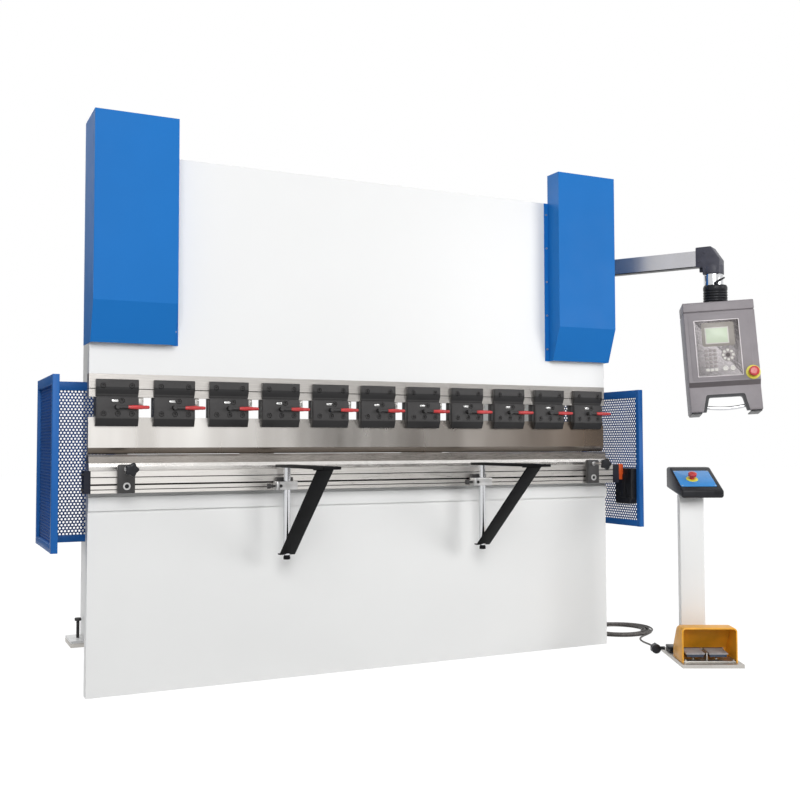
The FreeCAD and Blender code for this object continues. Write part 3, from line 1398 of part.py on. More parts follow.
def pedal(label, left):
    """A tread plate with a bored boss on the pin at its back."""
    tread_top = size.stand_plate + size.pedal_front_height + size.pedal_plate
    tread = prism("pedal_tread_" + label, "YZ_Plane", [
        (size.pedal_front, tread_top - size.pedal_plate),
        (pivot_y, pivot_z),
        (pivot_y, pivot_z + size.pedal_plate),
        (size.pedal_front, tread_top),
    ], (left, left + size.pedal_width))
    boss = rod("pedal_boss_" + label, "x", (left, pivot_y, pivot_z), size.pedal_width,
               size.pedal_boss_radius)
    hole = rod("pedal_hole_" + label, "x", (left, pivot_y, pivot_z), size.pedal_width,
               size.pedal_pin_radius + gap)
    return cut("pedal_" + label, fuse("pedal_whole_" + label, [tread, boss]), hole)


node("pedal_left", stood("pedal_left_set", pedal("one", size.pedal_left)))
node("pedal_right", stood("pedal_right_set", pedal("two", right_pedal_left)))

# Cable of the foot switch: a gland at each end, a coil on the floor and two leads


def stand_point(across, back, height):
    """A place on the stand, in the machine's frame."""
    turn = math.radians(size.stand_heading.number)
    x = size.stand_x.number + across * math.cos(turn) - back * math.sin(turn)
    y = size.stand_y.number + across * math.sin(turn) + back * math.cos(turn)
    return Vector(x, y, height)


stand_gland = fuse("stand_gland", [
    rod("stand_gland_body", "y",
        (-size.gland_reach, size.gland_place - size.gland_length / 2, size.gland_height),
        size.gland_length, size.gland_radius),
    rod("stand_gland_neck", "x", (-size.gland_reach, size.gland_place, size.gland_height),
        size.gland_reach, size.gland_radius * 0.6),
])
wall_gland = rod("wall_gland_body", "x",
                 (size.frame_outer, size.wall_gland_y, size.wall_gland_height),
                 size.gland_length, size.gland_radius)
node("cable_glands", group("cable_gland_pair", [
    stood("stand_gland_set", stand_gland),
    wall_gland,
]))


def cord_tube(label, points):
    """A round cord along straight runs joined by tangent arcs.

    Each arc's radius is 0.45 of the shorter run beside it over the tangent of half the turn.
    """
    edges = []
    start = points[0]
    radii = []
    for before, corner, after in zip(points, points[1:], points[2:]):
        towards = (corner - before).normalize()
        onwards = (after - corner).normalize()
        half_turn = towards.getAngle(onwards) / 2
        run = min(before.distanceToPoint(corner), corner.distanceToPoint(after))
        radii.append(0.45 * run / math.tan(half_turn))
        first = corner - towards * (0.45 * run)
        last = corner + onwards * (0.45 * run)
        inward = (onwards - towards).normalize()
        sag = radii[-1] * (1 / math.cos(half_turn) - 1)
        edges.append(Part.LineSegment(start, first).toShape())
        edges.append(Part.Arc(first, corner + inward * sag, last).toShape())
        start = last
    edges.append(Part.LineSegment(start, points[-1]).toShape())
    path = Part.Wire(edges)
    section = Part.Wire([Part.makeCircle(size.cable_radius.number, points[0],
                                         points[1] - points[0])])
    tube = path.makePipeShell([section], True, False)
    share = tube.Volume / (math.pi * size.cable_radius.number ** 2 * path.Length)
    print(label, "length", round(path.Length), "least radius", round(min(radii)),
          "volume share", round(share, 4))
    cord = document.addObject("Part::Feature", label)
    cord.Shape = tube
    return cord


floor_line = size.cable_radius.number + 0.5
gland_mouth = size.gland_place.number + size.gland_length.number / 2
# Way points of the two leads: they fall from the glands and lie on the floor to the coil.
# The first list is in the machine's frame, the second one counts from the gland's mouth.
STAND_LEAD_WAY = [(1360, -208, 20), (1389, -152, 13), (1418, -93, 7), (1447, -38, floor_line),
                  (1483, 5, floor_line), (1530, 38, floor_line), (1584, 68, floor_line),
                  (1640, 106, floor_line)]
WALL_LEAD_WAY = [(42, 0, size.wall_gland_height.number), (78, 4, 76), (106, 1, 30),
                 (150, -6, floor_line), (208, -4, floor_line), (266, -12, floor_line),
                 (324, -13, floor_line)]
stand_lead = cord_tube("stand_lead", [
    stand_point(-size.gland_reach.number, gland_mouth, size.gland_height.number),
    stand_point(-size.gland_reach.number, gland_mouth + size.lead_run.number,
                size.gland_height.number),
] + [Vector(*place) for place in STAND_LEAD_WAY])
node("cable_lead_stand", stand_lead)

wall_exit = size.frame_outer.number + size.gland_length.number
wall_lead = cord_tube("wall_lead", [
    Vector(wall_exit, size.wall_gland_y.number, size.wall_gland_height.number),
] + [Vector(wall_exit + away, size.wall_gland_y.number + along, height)
     for away, along, height in WALL_LEAD_WAY])
node("cable_lead_wall", wall_lead)

coil_ring = cut("coil_ring",
                rod("coil_outside", "z", (size.coil_x, size.coil_y, 0), size.coil_height,
                    size.coil_outer),
                rod("coil_hole", "z", (size.coil_x, size.coil_y, 0), size.coil_height,
                    size.coil_inner))
node("cable_coil", coil_ring)

# Check every object, then write each sub-part to its own file

document.recompute()
for item in document.Objects:
    if "Invalid" in item.State or "Error" in item.State:
        raise RuntimeError("%s is in state %s" % (item.Label, item.State))
for part in nodes:
    if part.Shape.isNull() or not part.Shape.isValid():
        raise RuntimeError("%s has no valid shape" % part.Label)
    if not part.Shape.Solids:
        raise RuntimeError("%s has no solid" % part.Label)
for part in nodes:
    part.Shape.exportStep("parts/%s.step" % part.Label)
    print(part.Label, len(part.Shape.Solids), "solid(s)", round(part.Shape.Volume / 1e6, 3), "litres")
print(len(nodes), "sub-parts")
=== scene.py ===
import math

import bpy
import numpy as np
from mathutils import Matrix, Vector


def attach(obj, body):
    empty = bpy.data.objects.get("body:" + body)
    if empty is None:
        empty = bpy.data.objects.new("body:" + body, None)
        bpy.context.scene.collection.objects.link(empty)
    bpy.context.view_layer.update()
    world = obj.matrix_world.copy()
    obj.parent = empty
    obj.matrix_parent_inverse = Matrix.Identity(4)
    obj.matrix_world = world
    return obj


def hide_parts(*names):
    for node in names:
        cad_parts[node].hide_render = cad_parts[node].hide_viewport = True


# A hydraulic press brake: steel plates, welded and painted, with its tools, guards,
# pendant control and foot switch. Sizes are in millimetres, as on the maker's drawing.

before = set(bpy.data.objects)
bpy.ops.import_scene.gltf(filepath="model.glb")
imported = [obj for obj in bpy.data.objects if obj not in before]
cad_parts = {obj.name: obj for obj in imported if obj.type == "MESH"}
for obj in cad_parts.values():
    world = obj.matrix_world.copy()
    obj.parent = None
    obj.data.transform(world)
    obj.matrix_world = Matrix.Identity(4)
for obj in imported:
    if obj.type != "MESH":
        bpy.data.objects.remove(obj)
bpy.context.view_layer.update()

# Studio: a pale floor that runs out to a white background, soft lamps over the machine,
# and the camera low in front, to the left of the middle.
camera = bpy.data.objects.new("camera", bpy.data.cameras.new("camera"))
bpy.context.scene.collection.objects.link(camera)
bpy.context.scene.camera = camera
camera.data.sensor_width = 36
camera.data.lens = 45.92
camera.data.clip_end = 100
camera.matrix_world = (Matrix.Translation((-1.9032, -4.1710, 0.9834))
                       @ Matrix.Rotation(math.radians(-25.925), 4, "Z")
                       @ Matrix.Rotation(math.radians(92.548), 4, "X")
                       @ Matrix.Rotation(math.radians(-0.123), 4, "Z"))
bpy.context.scene.view_settings.view_transform = "Standard"


def add_node(tree, kind, settings=(), **inputs):
    """Adds a shader node. An input is a number, a colour or another node's output, under its
    socket's name, or under the socket's number after an underscore."""
    made = tree.nodes.new("ShaderNode" + kind)
    for setting, value in dict(settings).items():
        setattr(made, setting, value)
    for socket, value in inputs.items():
        target = made.inputs[int(socket[1:]) if socket[1:].isdigit() else socket]
        if isinstance(value, bpy.types.NodeSocket):
            tree.links.new(value, target)
        else:
            target.default_value = value
    return made


def seen_as_white(tree):
    """One where a camera, mirror or glass ray arrives, and nothing for the light itself."""
    rays = add_node(tree, "LightPath").outputs
    first = add_node(tree, "Math", {"operation": "MAXIMUM"}, _0=rays["Is Camera Ray"],
                     _1=rays["Is Glossy Ray"])
    return add_node(tree, "Math", {"operation": "MAXIMUM"}, _0=first.outputs[0],
                    _1=rays["Is Transmission Ray"]).outputs[0]


def stage_piece(name, corners, faces):
    """Adds a flat piece of the studio, which is no part of the machine; returns its shading."""
    mesh = bpy.data.meshes.new(name)
    mesh.from_pydata(corners, [], faces)
    piece = bpy.data.objects.new(name, mesh)
    bpy.context.scene.collection.objects.link(piece)
    mesh.materials.append(bpy.data.materials.new(name))
    mesh.materials[0].use_nodes = True
    return mesh.materials[0].node_tree


world = bpy.data.worlds.new("studio")
bpy.context.scene.world = world
world.use_nodes = True
tree = world.node_tree
tree.nodes.clear()
studio_light = add_node(tree, "Background", Color=(0.97, 0.985, 1, 1), Strength=0.43)
white_wall = add_node(tree, "Background", Color=(1, 1, 1, 1), Strength=1)
mixed = add_node(tree, "MixShader", _0=seen_as_white(tree), _1=studio_light.outputs[0],
                 _2=white_wall.outputs[0])
add_node(tree, "OutputWorld", Surface=mixed.outputs[0])

tree = stage_piece("floor", [(-30, -30, 0), (30, -30, 0), (30, 30, 0), (-30, 30, 0)],
                   [(0, 1, 2, 3)])
tree.nodes.clear()
matt = add_node(tree, "BsdfDiffuse", Color=(0.42, 0.42, 0.42, 1))
glow = add_node(tree, "Emission", Color=(1, 1, 1, 1), Strength=1.52)
share = add_node(tree, "Math", {"operation": "MULTIPLY"}, _0=seen_as_white(tree), _1=0.62)
mixed = add_node(tree, "MixShader", _0=share.outputs[0], _1=matt.outputs[0],
                 _2=glow.outputs[0])
add_node(tree, "OutputMaterial", Surface=mixed.outputs[0])

for lamp_name, place, aim, width, power in (
        ("front_lamp", (-2.2, -6.6, 4.2), (0.3, 0.0, 0.8), 3.8, 300),
        ("side_lamp", (4.6, -5.2, 2.0), (1.1, 0.2, 0.4), 2.6, 145),
        ("rear_lamp", (-2.5, 5.8, 4.4), (0.0, 0.6, 1.3), 3.4, 150)):
    lamp = bpy.data.objects.new(lamp_name, bpy.data.lights.new(lamp_name, "AREA"))
    lamp.data.shape = "SQUARE"
    lamp.data.size = width
    lamp.data.energy = power
    lamp.location = place
    lamp.rotation_euler = (Vector(aim) - Vector(place)).to_track_quat("-Z", "Y").to_euler()
    bpy.context.scene.collection.objects.link(lamp)

# Two dark cards that only shiny surfaces see: one far in front, to the right, and one behind.
tree = stage_piece(
    "dark_card", [(1.3, -4.6, 0.2), (6.5, -3.4, 0.2), (6.5, -3.4, 2.4), (1.3, -4.6, 2.4),
                  (-7, 4.8, 0.1), (-1.5, 4.8, 0.1), (-1.5, 4.8, 5), (-7, 4.8, 5)],
    [(0, 1, 2, 3), (4, 5, 6, 7)])
dark_card = bpy.data.objects["dark_card"]
dark_card.visible_camera = dark_card.visible_diffuse = dark_card.visible_shadow = False
tree.nodes["Principled BSDF"].inputs["Base Color"].default_value = (0.02, 0.015, 0.01, 1)

# Foot switch cable: a round rubber cable, 9 mm thick, in a loose flat coil on the floor.
# It comes out of the stand's gland and goes into the gland on the machine's right frame.


class Finish:
    """A named finish of the machine: one Principled shader with constants on its own sockets."""

    def __init__(self, name, slot, colour, roughness, **constants):
        self.material = bpy.data.materials.new(name)
        self.material.use_nodes = True
        self.tree = self.material.node_tree
        self.slot = slot
        self.colour = colour
        self.shader = self.tree.nodes["Principled BSDF"]
        self.shader.inputs["Base Color"].default_value = (*colour, 1)
        self.shader.inputs["Roughness"].default_value = roughness
        for socket, number in constants.items():
            self.shader.inputs[socket.replace("_", " ")].default_value = number

    def node(self, kind, settings=(), **inputs):
        return add_node(self.tree, kind, settings, **inputs)

    def figure(self, operation, *values):
        """A sum, product or comparison of numbers and outputs."""
        sockets = {"_%d" % index: value for index, value in enumerate(values)}
        return self.node("Math", {"operation": operation}, **sockets).outputs[0]

    def blend(self, amount, first, second):
        """Two colours mixed by an amount from 0 to 1; each is a triple or an output."""
        first, second = [(*colour, 1) if isinstance(colour, tuple) else colour
                         for colour in (first, second)]
        return self.node("Mix", {"data_type": "RGBA"}, _0=amount, _6=first, _7=second).outputs[2]

    def point(self):
        """The X, Y and Z outputs of the point on the object, in metres."""
        return self.node("SeparateXYZ", Vector=self.place()).outputs

    def place(self, stretch=(1, 1, 1)):
        """The point on the object in metres, stretched along each axis."""
        point = self.node("TexCoord").outputs["Object"]
        return self.node("Mapping", Vector=point, Scale=stretch).outputs[0]

    def noise(self, scale, detail=3.0, stretch=(1, 1, 1), rough=0.5):
        """Soft noise with so many waves per metre."""
        return self.node("TexNoise", Vector=self.place(stretch), Scale=scale, Detail=detail,
                         Roughness=rough).outputs["Fac"]

    def spread(self, value, low, high, start=0.3, end=0.7):
        """Carries a value from start..end to low..high."""
        return self.node("MapRange", Value=value, _1=start, _2=end, _3=low, _4=high).outputs[0]

    def shade(self, value, dark, light, start=0.3, end=0.7):
        """Base colour between two shades of the finish, led by a value."""
        shades = [tuple(min(1, c * share) for c in self.colour) for share in (dark, light)]
        self.base(self.blend(self.spread(value, 0, 1, start, end), *shades))

    def cloud(self, dark, light, scale, detail=3):
        """Base colour between two shades of the finish, in soft clouds."""
        self.shade(self.noise(scale, detail), dark, light)

    def base(self, socket):
        self.tree.links.new(socket, self.shader.inputs["Base Color"])

    def metal_where(self, value):
        """Metal where the value is nothing, and none where it is one."""
        self.tree.links.new(self.spread(value, 1, 0, 0, 1), self.shader.inputs["Metallic"])

    def rough(self, value, low, high, start=0.3, end=0.7):
        self.tree.links.new(self.spread(value, low, high, start, end),
                            self.shader.inputs["Roughness"])

    def bump(self, height, depth):
        """Raises the surface by so many metres where the height is one."""
        made = self.node("Bump", Height=height, Strength=1.0, Distance=depth)
        last = self.shader.inputs["Normal"]
        if last.is_linked:
            self.tree.links.new(last.links[0].from_socket, made.inputs["Normal"])
        self.tree.links.new(made.outputs[0], last)

    def grain(self, scale, depth):
        """Fine raised grain, with so many grains per metre."""
        self.bump(self.noise(scale, 2), depth)


def coated(name, slot, colour, roughness, cloud, grain=(), **constants):
    """A plain coat with clouds of two shades and, where it is given, a fine raised grain."""
    finish = Finish(name, slot, colour, roughness, **constants)
    finish.cloud(*cloud)
    if grain:
        finish.grain(*grain)
    return finish


cable_route = [(1319.8, -296.6, 24), (1335.9, -264.3, 24), (1360, -208, 20), (1389, -152, 13),
               (1418, -93, 7), (1447, -38, 5), (1483, 5, 5), (1530, 38, 5), (1584, 68, 5)]
coil_middle = (1506, 225)
points_per_turn = 18
lower_turns, upper_turns = 4, 3
lower_height, upper_height = 5, 14.3
outer_radius, inner_radius = 179, 131
inward_per_turn, outward_per_turn = 12, 17.5
coil_outside = 190
coil_start, coil_end = -41.6, 100
settling = 120
total_turn = 360 * (lower_turns + upper_turns) + coil_end - coil_start
for step in range(int(total_turn / 360 * points_per_turn) + 1):
    turned_by = step * 360 / points_per_turn
    angle = math.radians(coil_start + turned_by)
    if turned_by < 360 * lower_turns:
        radius = outer_radius - inward_per_turn * turned_by / 360
        height = lower_height
    else:
        radius = inner_radius + outward_per_turn * (turned_by / 360 - lower_turns)
        height = upper_height
    loose = 0 if turned_by < 200 else min(1, (turned_by - 200) / 300)
    wobble = loose * (3.0 * math.sin(turned_by / 77) + 2.0 * math.sin(turned_by / 41))
    to_go = (total_turn - turned_by) / settling
    if to_go < 1:
        wobble *= to_go
        height = upper_height - (upper_height - lower_height) * (1 - to_go) ** 2
        radius = min(radius + 6, coil_outside)
    cable_route.append((coil_middle[0] + (radius + wobble) * math.cos(angle),
                        coil_middle[1] + (radius + wobble) * math.sin(angle), height))
cable_route += [(1395, 408, 5), (1337, 416, 5), (1279, 414, 5), (1235, 421, 30),
                (1207, 424, 76), (1171, 420, 110), (1129, 420, 110)]

cable_line = bpy.data.curves.new("foot_switch_cable", "CURVE")
cable_line.dimensions = "3D"
spline = cable_line.splines.new("NURBS")
spline.points.add(len(cable_route) - 1)
spline.points.foreach_set("co", np.hstack([np.array(cable_route, float) / 1000,
                                           np.ones((len(cable_route), 1))]).ravel())
spline.order_u = 3
spline.use_endpoint_u = True
spline.resolution_u = 6
cable_line.bevel_depth = 0.0045
cable_line.bevel_resolution = 3
cable_line.use_fill_caps = True
foot_switch_cable = bpy.data.objects.new("foot_switch_cable", cable_line)
bpy.context.scene.collection.objects.link(foot_switch_cable)

cable_rubber = coated("cable_rubber", "cable_rubber", (0.085, 0.077, 0.072), 0.6, (0.7, 1.7, 60),
                      (1400, 0.0002))
cable_rubber.rough(cable_rubber.noise(900, 2), 0.45, 0.7)
cable_line.materials.append(cable_rubber.material)
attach(foot_switch_cable, "machine")
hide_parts("cable_lead_stand", "cable_coil", "cable_lead_wall")

# Side frames, bed and tie beams: thick flame-cut steel plates, welded together and sprayed
# with white two-pack paint. The machine stands on the bed and on four levelling feet.


def dress(node, finish):
    """Gives a node of the drawing one of the machine's finishes."""
    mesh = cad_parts[node].data
    mesh.materials.clear()
    mesh.materials.append(finish.material)


white_paint = coated("white_paint", "white_paint", (0.83, 0.83, 0.82), 0.34, (0.975, 1.015, 1.3, 4),
                     (420, 0.00012), Coat_Weight=0.15, Coat_Roughness=0.2)
white_paint.rough(white_paint.noise(7, 3), 0.3, 0.42)
for name in ("bed_plate", "side_frame_left", "side_frame_right", "tie_beams", "stand_post"):
    dress(name, white_paint)


def ground(name, slot, colour, roughness, along, lines):
    """Ground steel: fine lines along one axis in its colour, gloss and height."""
    finish = Finish(name, slot, colour, roughness, Metallic=1.0)
    stretch = [lines] * 3
    stretch["XYZ".index(along)] = lines / 60
    fine = finish.noise(1, 4, stretch, 0.65)
    broad = finish.noise(5, 3)
    finish.shade(finish.figure("MULTIPLY", fine, broad), 0.86, 1.1, 0.1, 0.42)
    finish.rough(fine, roughness * 0.75, roughness * 1.4)
    finish.bump(fine, 0.00003)
    return finish


# Levelling feet: steel blocks under the lugs of the frames, each with a long black bolt that
# is turned down through the lug until the machine stands level.


def skin(rings):
    """A skin over rings of points. Each ring goes round anticlockwise as seen from the last
    one; quads join neighbouring points and rings, and a flat face closes each end."""
    rings = np.asarray(rings, float)
    rows, columns = rings.shape[:2]
    row, column = np.meshgrid(np.arange(rows - 1), np.arange(columns), indexing="ij")
    following = (column + 1) % columns
    faces = np.stack([row * columns + column, row * columns + following,
                      (row + 1) * columns + following, (row + 1) * columns + column], -1)
    faces = faces.reshape(-1, 4).tolist()
    faces.append(list(range(columns))[::-1])
    faces.append(list(range((rows - 1) * columns, rows * columns)))
    return rings.reshape(-1, 3), faces


def turned(profile, sides=32, hexagon=()):
    """A turned shape about Z: (radius, height) pairs carried round the axis. The radius of the
    rows listed in hexagon is divided by the cosine of the angle from the nearest flat."""
    angle = np.arange(sides) * 2 * np.pi / sides
    radius, height = np.array(profile, float).T[:, :, None]
    flat = 1 / np.cos((angle + np.pi / 6) % (np.pi / 3) - np.pi / 6)
    six_sided = np.isin(np.arange(len(profile)), hexagon)[:, None]
    radius = radius * np.where(six_sided, flat, 1)
    return skin(np.stack([radius * np.cos(angle), radius * np.sin(angle),
                          height + 0 * angle], -1))


def placed(part, at=(0, 0, 0), x=(1, 0, 0), y=(0, 1, 0)):
    """The part set down at a point, with its own X and Y along two axes of the machine."""
    points, faces = part
    return points @ np.array([x, y, np.cross(x, y)], float) + np.array(at, float), faces


def joined(*parts):
    """Several parts as one."""
    starts = np.cumsum([0] + [len(points) for points, faces in parts])
    return (np.concatenate([points for points, faces in parts]),
            [[corner + start for corner in face]
             for start, (points, faces) in zip(starts.tolist(), parts) for face in faces])


def repeated(part, offsets):
    """The part once at every offset."""
    return joined(*[placed(part, offset) for offset in offsets])


def make(name, body, finish, part, smooth=38, stands_for=()):
    """Turns a part, drawn in millimetres, into a piece that rides on a body of the machine."""
    points, faces = part
    mesh = bpy.data.meshes.new(name)
    mesh.from_pydata((points / 1000).tolist(), [], faces)
    mesh.materials.append(finish.material)
    mesh.shade_smooth()
    mesh.set_sharp_from_angle(angle=math.radians(smooth))
    piece = bpy.data.objects.new(name, mesh)
    bpy.context.scene.collection.objects.link(piece)
    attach(piece, body)
    if stands_for:
        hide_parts(*stands_for)


def plate(outline, thickness, edge=1.0, steps=2):
    """A flat plate with rounded edges. Near each face the outline draws in by
    edge times (1 - sin t) while the height moves by edge times (1 - cos t)."""
    outline = np.array(outline, float)
    before, after = np.roll(outline, 1, 0), np.roll(outline, -1, 0)
    if np.sum(before[:, 0] * outline[:, 1] - before[:, 1] * outline[:, 0]) < 0:
        outline = outline[::-1]
        before, after = np.roll(outline, 1, 0), np.roll(outline, -1, 0)
    sides = np.stack([outline - before, after - outline])
    sides /= np.linalg.norm(sides, axis=-1, keepdims=True)
    outward = np.stack([sides[..., 1], -sides[..., 0]], -1)
    mitre = outward.sum(0) / (1 + (outward[0] * outward[1]).sum(-1, keepdims=True))
    t = np.linspace(0, np.pi / 2, steps + 1)
    inset = np.concatenate([edge * (1 - np.sin(t)), edge * (1 - np.sin(t[::-1]))])
    height = np.concatenate([edge * (1 - np.cos(t)), thickness - edge * (1 - np.cos(t[::-1]))])
    flat = outline - mitre * inset[:, None, None]
    return skin(np.dstack([flat, np.broadcast_to(height[:, None], flat.shape[:2])]))


def rounded(corners, radius, steps=4):
    """The outline with each corner turned into an arc that both of its sides run into."""
    corners = np.array(corners, float)
    radius = np.broadcast_to(np.array(radius, float), len(corners))[:, None]
    back, on = np.roll(corners, 1, 0) - corners, np.roll(corners, -1, 0) - corners
    back /= np.linalg.norm(back, axis=-1, keepdims=True)
    on /= np.linalg.norm(on, axis=-1, keepdims=True)
    half = np.arccos(np.clip((back * on).sum(-1, keepdims=True), -1, 1)) / 2
    inward = (back + on) / np.linalg.norm(back + on, axis=-1, keepdims=True)
    centre = corners + inward * radius / np.sin(half)
    first = corners + back * radius / np.tan(half) - centre
    last = corners + on * radius / np.tan(half) - centre
    swing = np.pi - 2 * half[:, None]
    t = np.linspace(0, 1, steps + 1)[None, :, None]
    arc = (np.sin((1 - t) * swing) * first[:, None] + np.sin(t * swing) * last[:, None])
    return (centre[:, None] + arc / np.sin(swing)).reshape(-1, 2)


def oblong(width, height, radius, centre=(0, 0), steps=4):
    """A rectangle about its centre, with rounded corners."""
    a, b = width / 2, height / 2
    return rounded([(-a, -b), (a, -b), (a, b), (-a, b)], radius, steps) + np.array(centre)


bare_steel = ground("bare_steel", "ground_steel", (0.50, 0.48, 0.45), 0.42, "X", 300)
black_oxide = Finish("black_oxide", "black_oxide", (0.05, 0.048, 0.048), 0.42,
                     Specular_IOR_Level=0.25)
# Two height bands on the clamps, where their bevels face down, are painted near black: painted
# shade on the bevels.
bevel_shade_bands = [black_oxide.figure("COMPARE", black_oxide.point()["Z"], middle, half)
          for middle, half in ((1.2043, 0.0138), (1.075, 0.0175))]
oiled_black = black_oxide.blend(black_oxide.noise(90), (0.046, 0.044, 0.044),
                                (0.056, 0.054, 0.054))
black_oxide.base(black_oxide.blend(black_oxide.figure("MAXIMUM", *bevel_shade_bands), oiled_black,
                                   (0.018, 0.0175, 0.018)))
black_oxide.rough(black_oxide.noise(120, 3), 0.32, 0.5)
black_oxide.grain(900, 0.00005)
foot_places = [(side * 1107, y, 0) for side in (-1, 1) for y in (150, 1140)]
thread = [(7.2 + (row % 2) * 0.9, 20.2 + row * 1.25) for row in range(76)]
foot_bolt = turned(thread + [(8, 115.8), (14.9, 115.8), (15.4, 117), (15.4, 127.5), (13.4, 130),
                             (12, 130)], 30, hexagon=(78, 79, 80))
make("levelling_bolts", "machine", black_oxide, repeated(foot_bolt, foot_places), 30)

make("levelling_blocks", "machine", bare_steel, repeated(
    plate(oblong(94, 190, 3), 20, 1), foot_places), 30, stands_for=["levelling_feet"])

# Front rail: an aluminium extrusion along the bed, with a tee slot and a seam line, between
# two dark end caps that are screwed on.
rail_aluminium = Finish("rail_aluminium", "rail_aluminium", (0.70, 0.675, 0.645), 0.3,
                        Metallic=1.0)
rail_point = rail_aluminium.point()
# Faces set back from the rail's front, below its top edge, are painted near black: painted shade in
# the slot, in the seam line and under the rail.
groove_shade = rail_aluminium.figure(
    "MULTIPLY", rail_aluminium.spread(rail_point["Y"], 0, 1, -0.0869, -0.0862),
    rail_aluminium.spread(rail_point["Z"], 1, 0, 0.8815, 0.8822))
# The top face is painted a dull dark grey and is not metal: painted shade on the rail's top.
top_shade = rail_aluminium.spread(rail_point["Z"], 0, 1, 0.8858, 0.8864)
drawn = rail_aluminium.noise(1, 3, (12, 800, 800), 0.6)
bare = rail_aluminium.blend(drawn, (0.62, 0.595, 0.565), (0.8, 0.775, 0.74))
groove_shaded = rail_aluminium.blend(groove_shade, bare, (0.035, 0.033, 0.03))
rail_aluminium.base(rail_aluminium.blend(top_shade, groove_shaded, (0.4, 0.37, 0.34)))
rail_aluminium.metal_where(top_shade)
rail_aluminium.rough(drawn, 0.26, 0.36)
rail_aluminium.bump(drawn, 0.00002)


def socket_screw(radius, height):
    """A cap screw seen from its head, standing on Z = 0, with its hexagon socket."""
    socket = radius * 0.52
    return turned([(radius, 0), (radius, height - radius * 0.12), (radius * 0.88, height),
                   (socket * 1.12, height), (socket, height - socket * 0.12),
                   (socket * 0.98, height - radius * 0.7)], 24, hexagon=(3, 4, 5))


FRONT = {"x": (1, 0, 0), "y": (0, 0, 1)}
LEFT = {"x": (0, -1, 0), "y": (0, 0, 1)}
RIGHT = {"x": (0, 1, 0), "y": (0, 0, 1)}
BACK = {"x": (-1, 0, 0), "y": (0, 0, 1)}

cap_plastic = coated("cap_plastic", "black_paint", (0.012, 0.013, 0.022), 0.4, (0.8, 1.3, 30),
                     (700, 0.0001), Specular_IOR_Level=0.2)
dress("rail_end_caps", cap_plastic)
rail_profile = [
    (-25, 798), (-86, 798), (-87, 799), (-87, 811), (-84, 811.2), (-84, 814.3), (-87, 814.5),
    (-87, 828.5), (-78, 828.5), (-78, 823), (-69, 823), (-69, 841), (-78, 841), (-78, 835.5),
    (-87, 835.5), (-87, 859), (-82, 859.2), (-82, 862.6), (-87, 862.8), (-87, 885), (-85, 887),
    (-25, 887)]
rail_length = 2500
make("rail_extrusion", "machine", rail_aluminium,
     placed(plate(rail_profile, rail_length, 0.3, 1), (-rail_length / 2, 0, 0), **RIGHT), 30,
     stands_for=["front_rail"])
make("rail_cap_screws", "machine", black_oxide, joined(
    *[placed(socket_screw(5, 4), (x, y, z), **way) for x, way in ((-1274.9, LEFT), (1283.9, RIGHT))
      for y in (-72, -40) for z in (812, 872)]))

# Die holder, die and punch: bars of hardened tool steel, ground all over. The die lies in its
# holder on the bed; the punch hangs under the ram.
tool_steel = ground("tool_steel", "ground_steel", (0.66, 0.64, 0.615), 0.24, "X", 900)
dress("die_holder", tool_steel)
die_steel = ground("die_steel", "ground_steel", (0.33, 0.305, 0.28), 0.28, "X", 900)
dress("die", die_steel)
punch_steel = Finish("punch_steel", "ground_steel", (0.66, 0.64, 0.615), 0.24, Metallic=1.0)
punch_point = punch_steel.point()
# Under the shoulder the taper is painted dark: painted shade on faces that look down.
taper_shade = punch_steel.spread(punch_point["Z"], 1, 0, 0.9762, 0.9775)
# Soft lighter and darker vertical bands, and a fade to dark brown towards the right, are painted
# reflections of the studio; the bands also vary the gloss.
sheen_fade = punch_steel.spread(punch_point["X"], 0, 1, -0.2, 1.15)
gloss_and_sheen_bands = punch_steel.noise(1, 3, (3.2, 0.4, 0.4), 0.55)
sheen_band_colour = punch_steel.blend(punch_steel.spread(gloss_and_sheen_bands, 0, 1), (0.5, 0.47, 0.44),
                           (0.76, 0.74, 0.71))
faded_sheen = punch_steel.blend(sheen_fade, sheen_band_colour, (0.27, 0.21, 0.165))
punch_steel.base(punch_steel.blend(taper_shade, faded_sheen, (0.32, 0.285, 0.255)))
punch_steel.rough(gloss_and_sheen_bands, 0.2, 0.34)
punch_steel.bump(punch_steel.noise(1, 3, (15, 900, 900), 0.6), 0.00002)
dress("punch", punch_steel)

# Ram: one thick plate that slides down to bend. Its lower edge is milled bare for the
# clamps; above that it is painted white like the frame.
strip_top = 1.271
seam_height = 1.2115
ram_finish = Finish("ram_paint_and_steel", "white_paint", (0.85, 0.85, 0.845), 0.34)
ram_height = ram_finish.point()["Z"]
ragged = ram_finish.figure("MULTIPLY", ram_finish.noise(30, 2), 0.0012)
painted = ram_finish.spread(ram_finish.figure("ADD", ram_height, ragged), 0, 1, strip_top,
                            strip_top + 0.0008)
milled = ram_finish.spread(ram_finish.noise(1, 4, (12, 700, 700), 0.65), 0, 1)
whole = ram_finish.blend(painted, ram_finish.blend(milled, (0.43, 0.41, 0.39), (0.6, 0.575, 0.545)),
                         ram_finish.blend(ram_finish.noise(1.3, 4), (0.83, 0.83, 0.825),
                                          (0.87, 0.87, 0.865)))
# A black line along the seam between the ram's two parts: painted shade in the seam's groove.
seam_shade = ram_finish.figure("COMPARE", ram_height, seam_height, 0.0016)
ram_finish.base(ram_finish.blend(seam_shade, whole, (0.01, 0.01, 0.01)))
ram_finish.metal_where(painted)
ram_finish.bump(painted, 0.0002)
ram_finish.grain(420, 0.00012)
dress("ram_plate", ram_finish)

# Quick clamps: eleven oil-black steel clamps that hold the punch. A head is screwed to the
# ram; the plate below it is drawn tight by a wedge, which the lever moves.


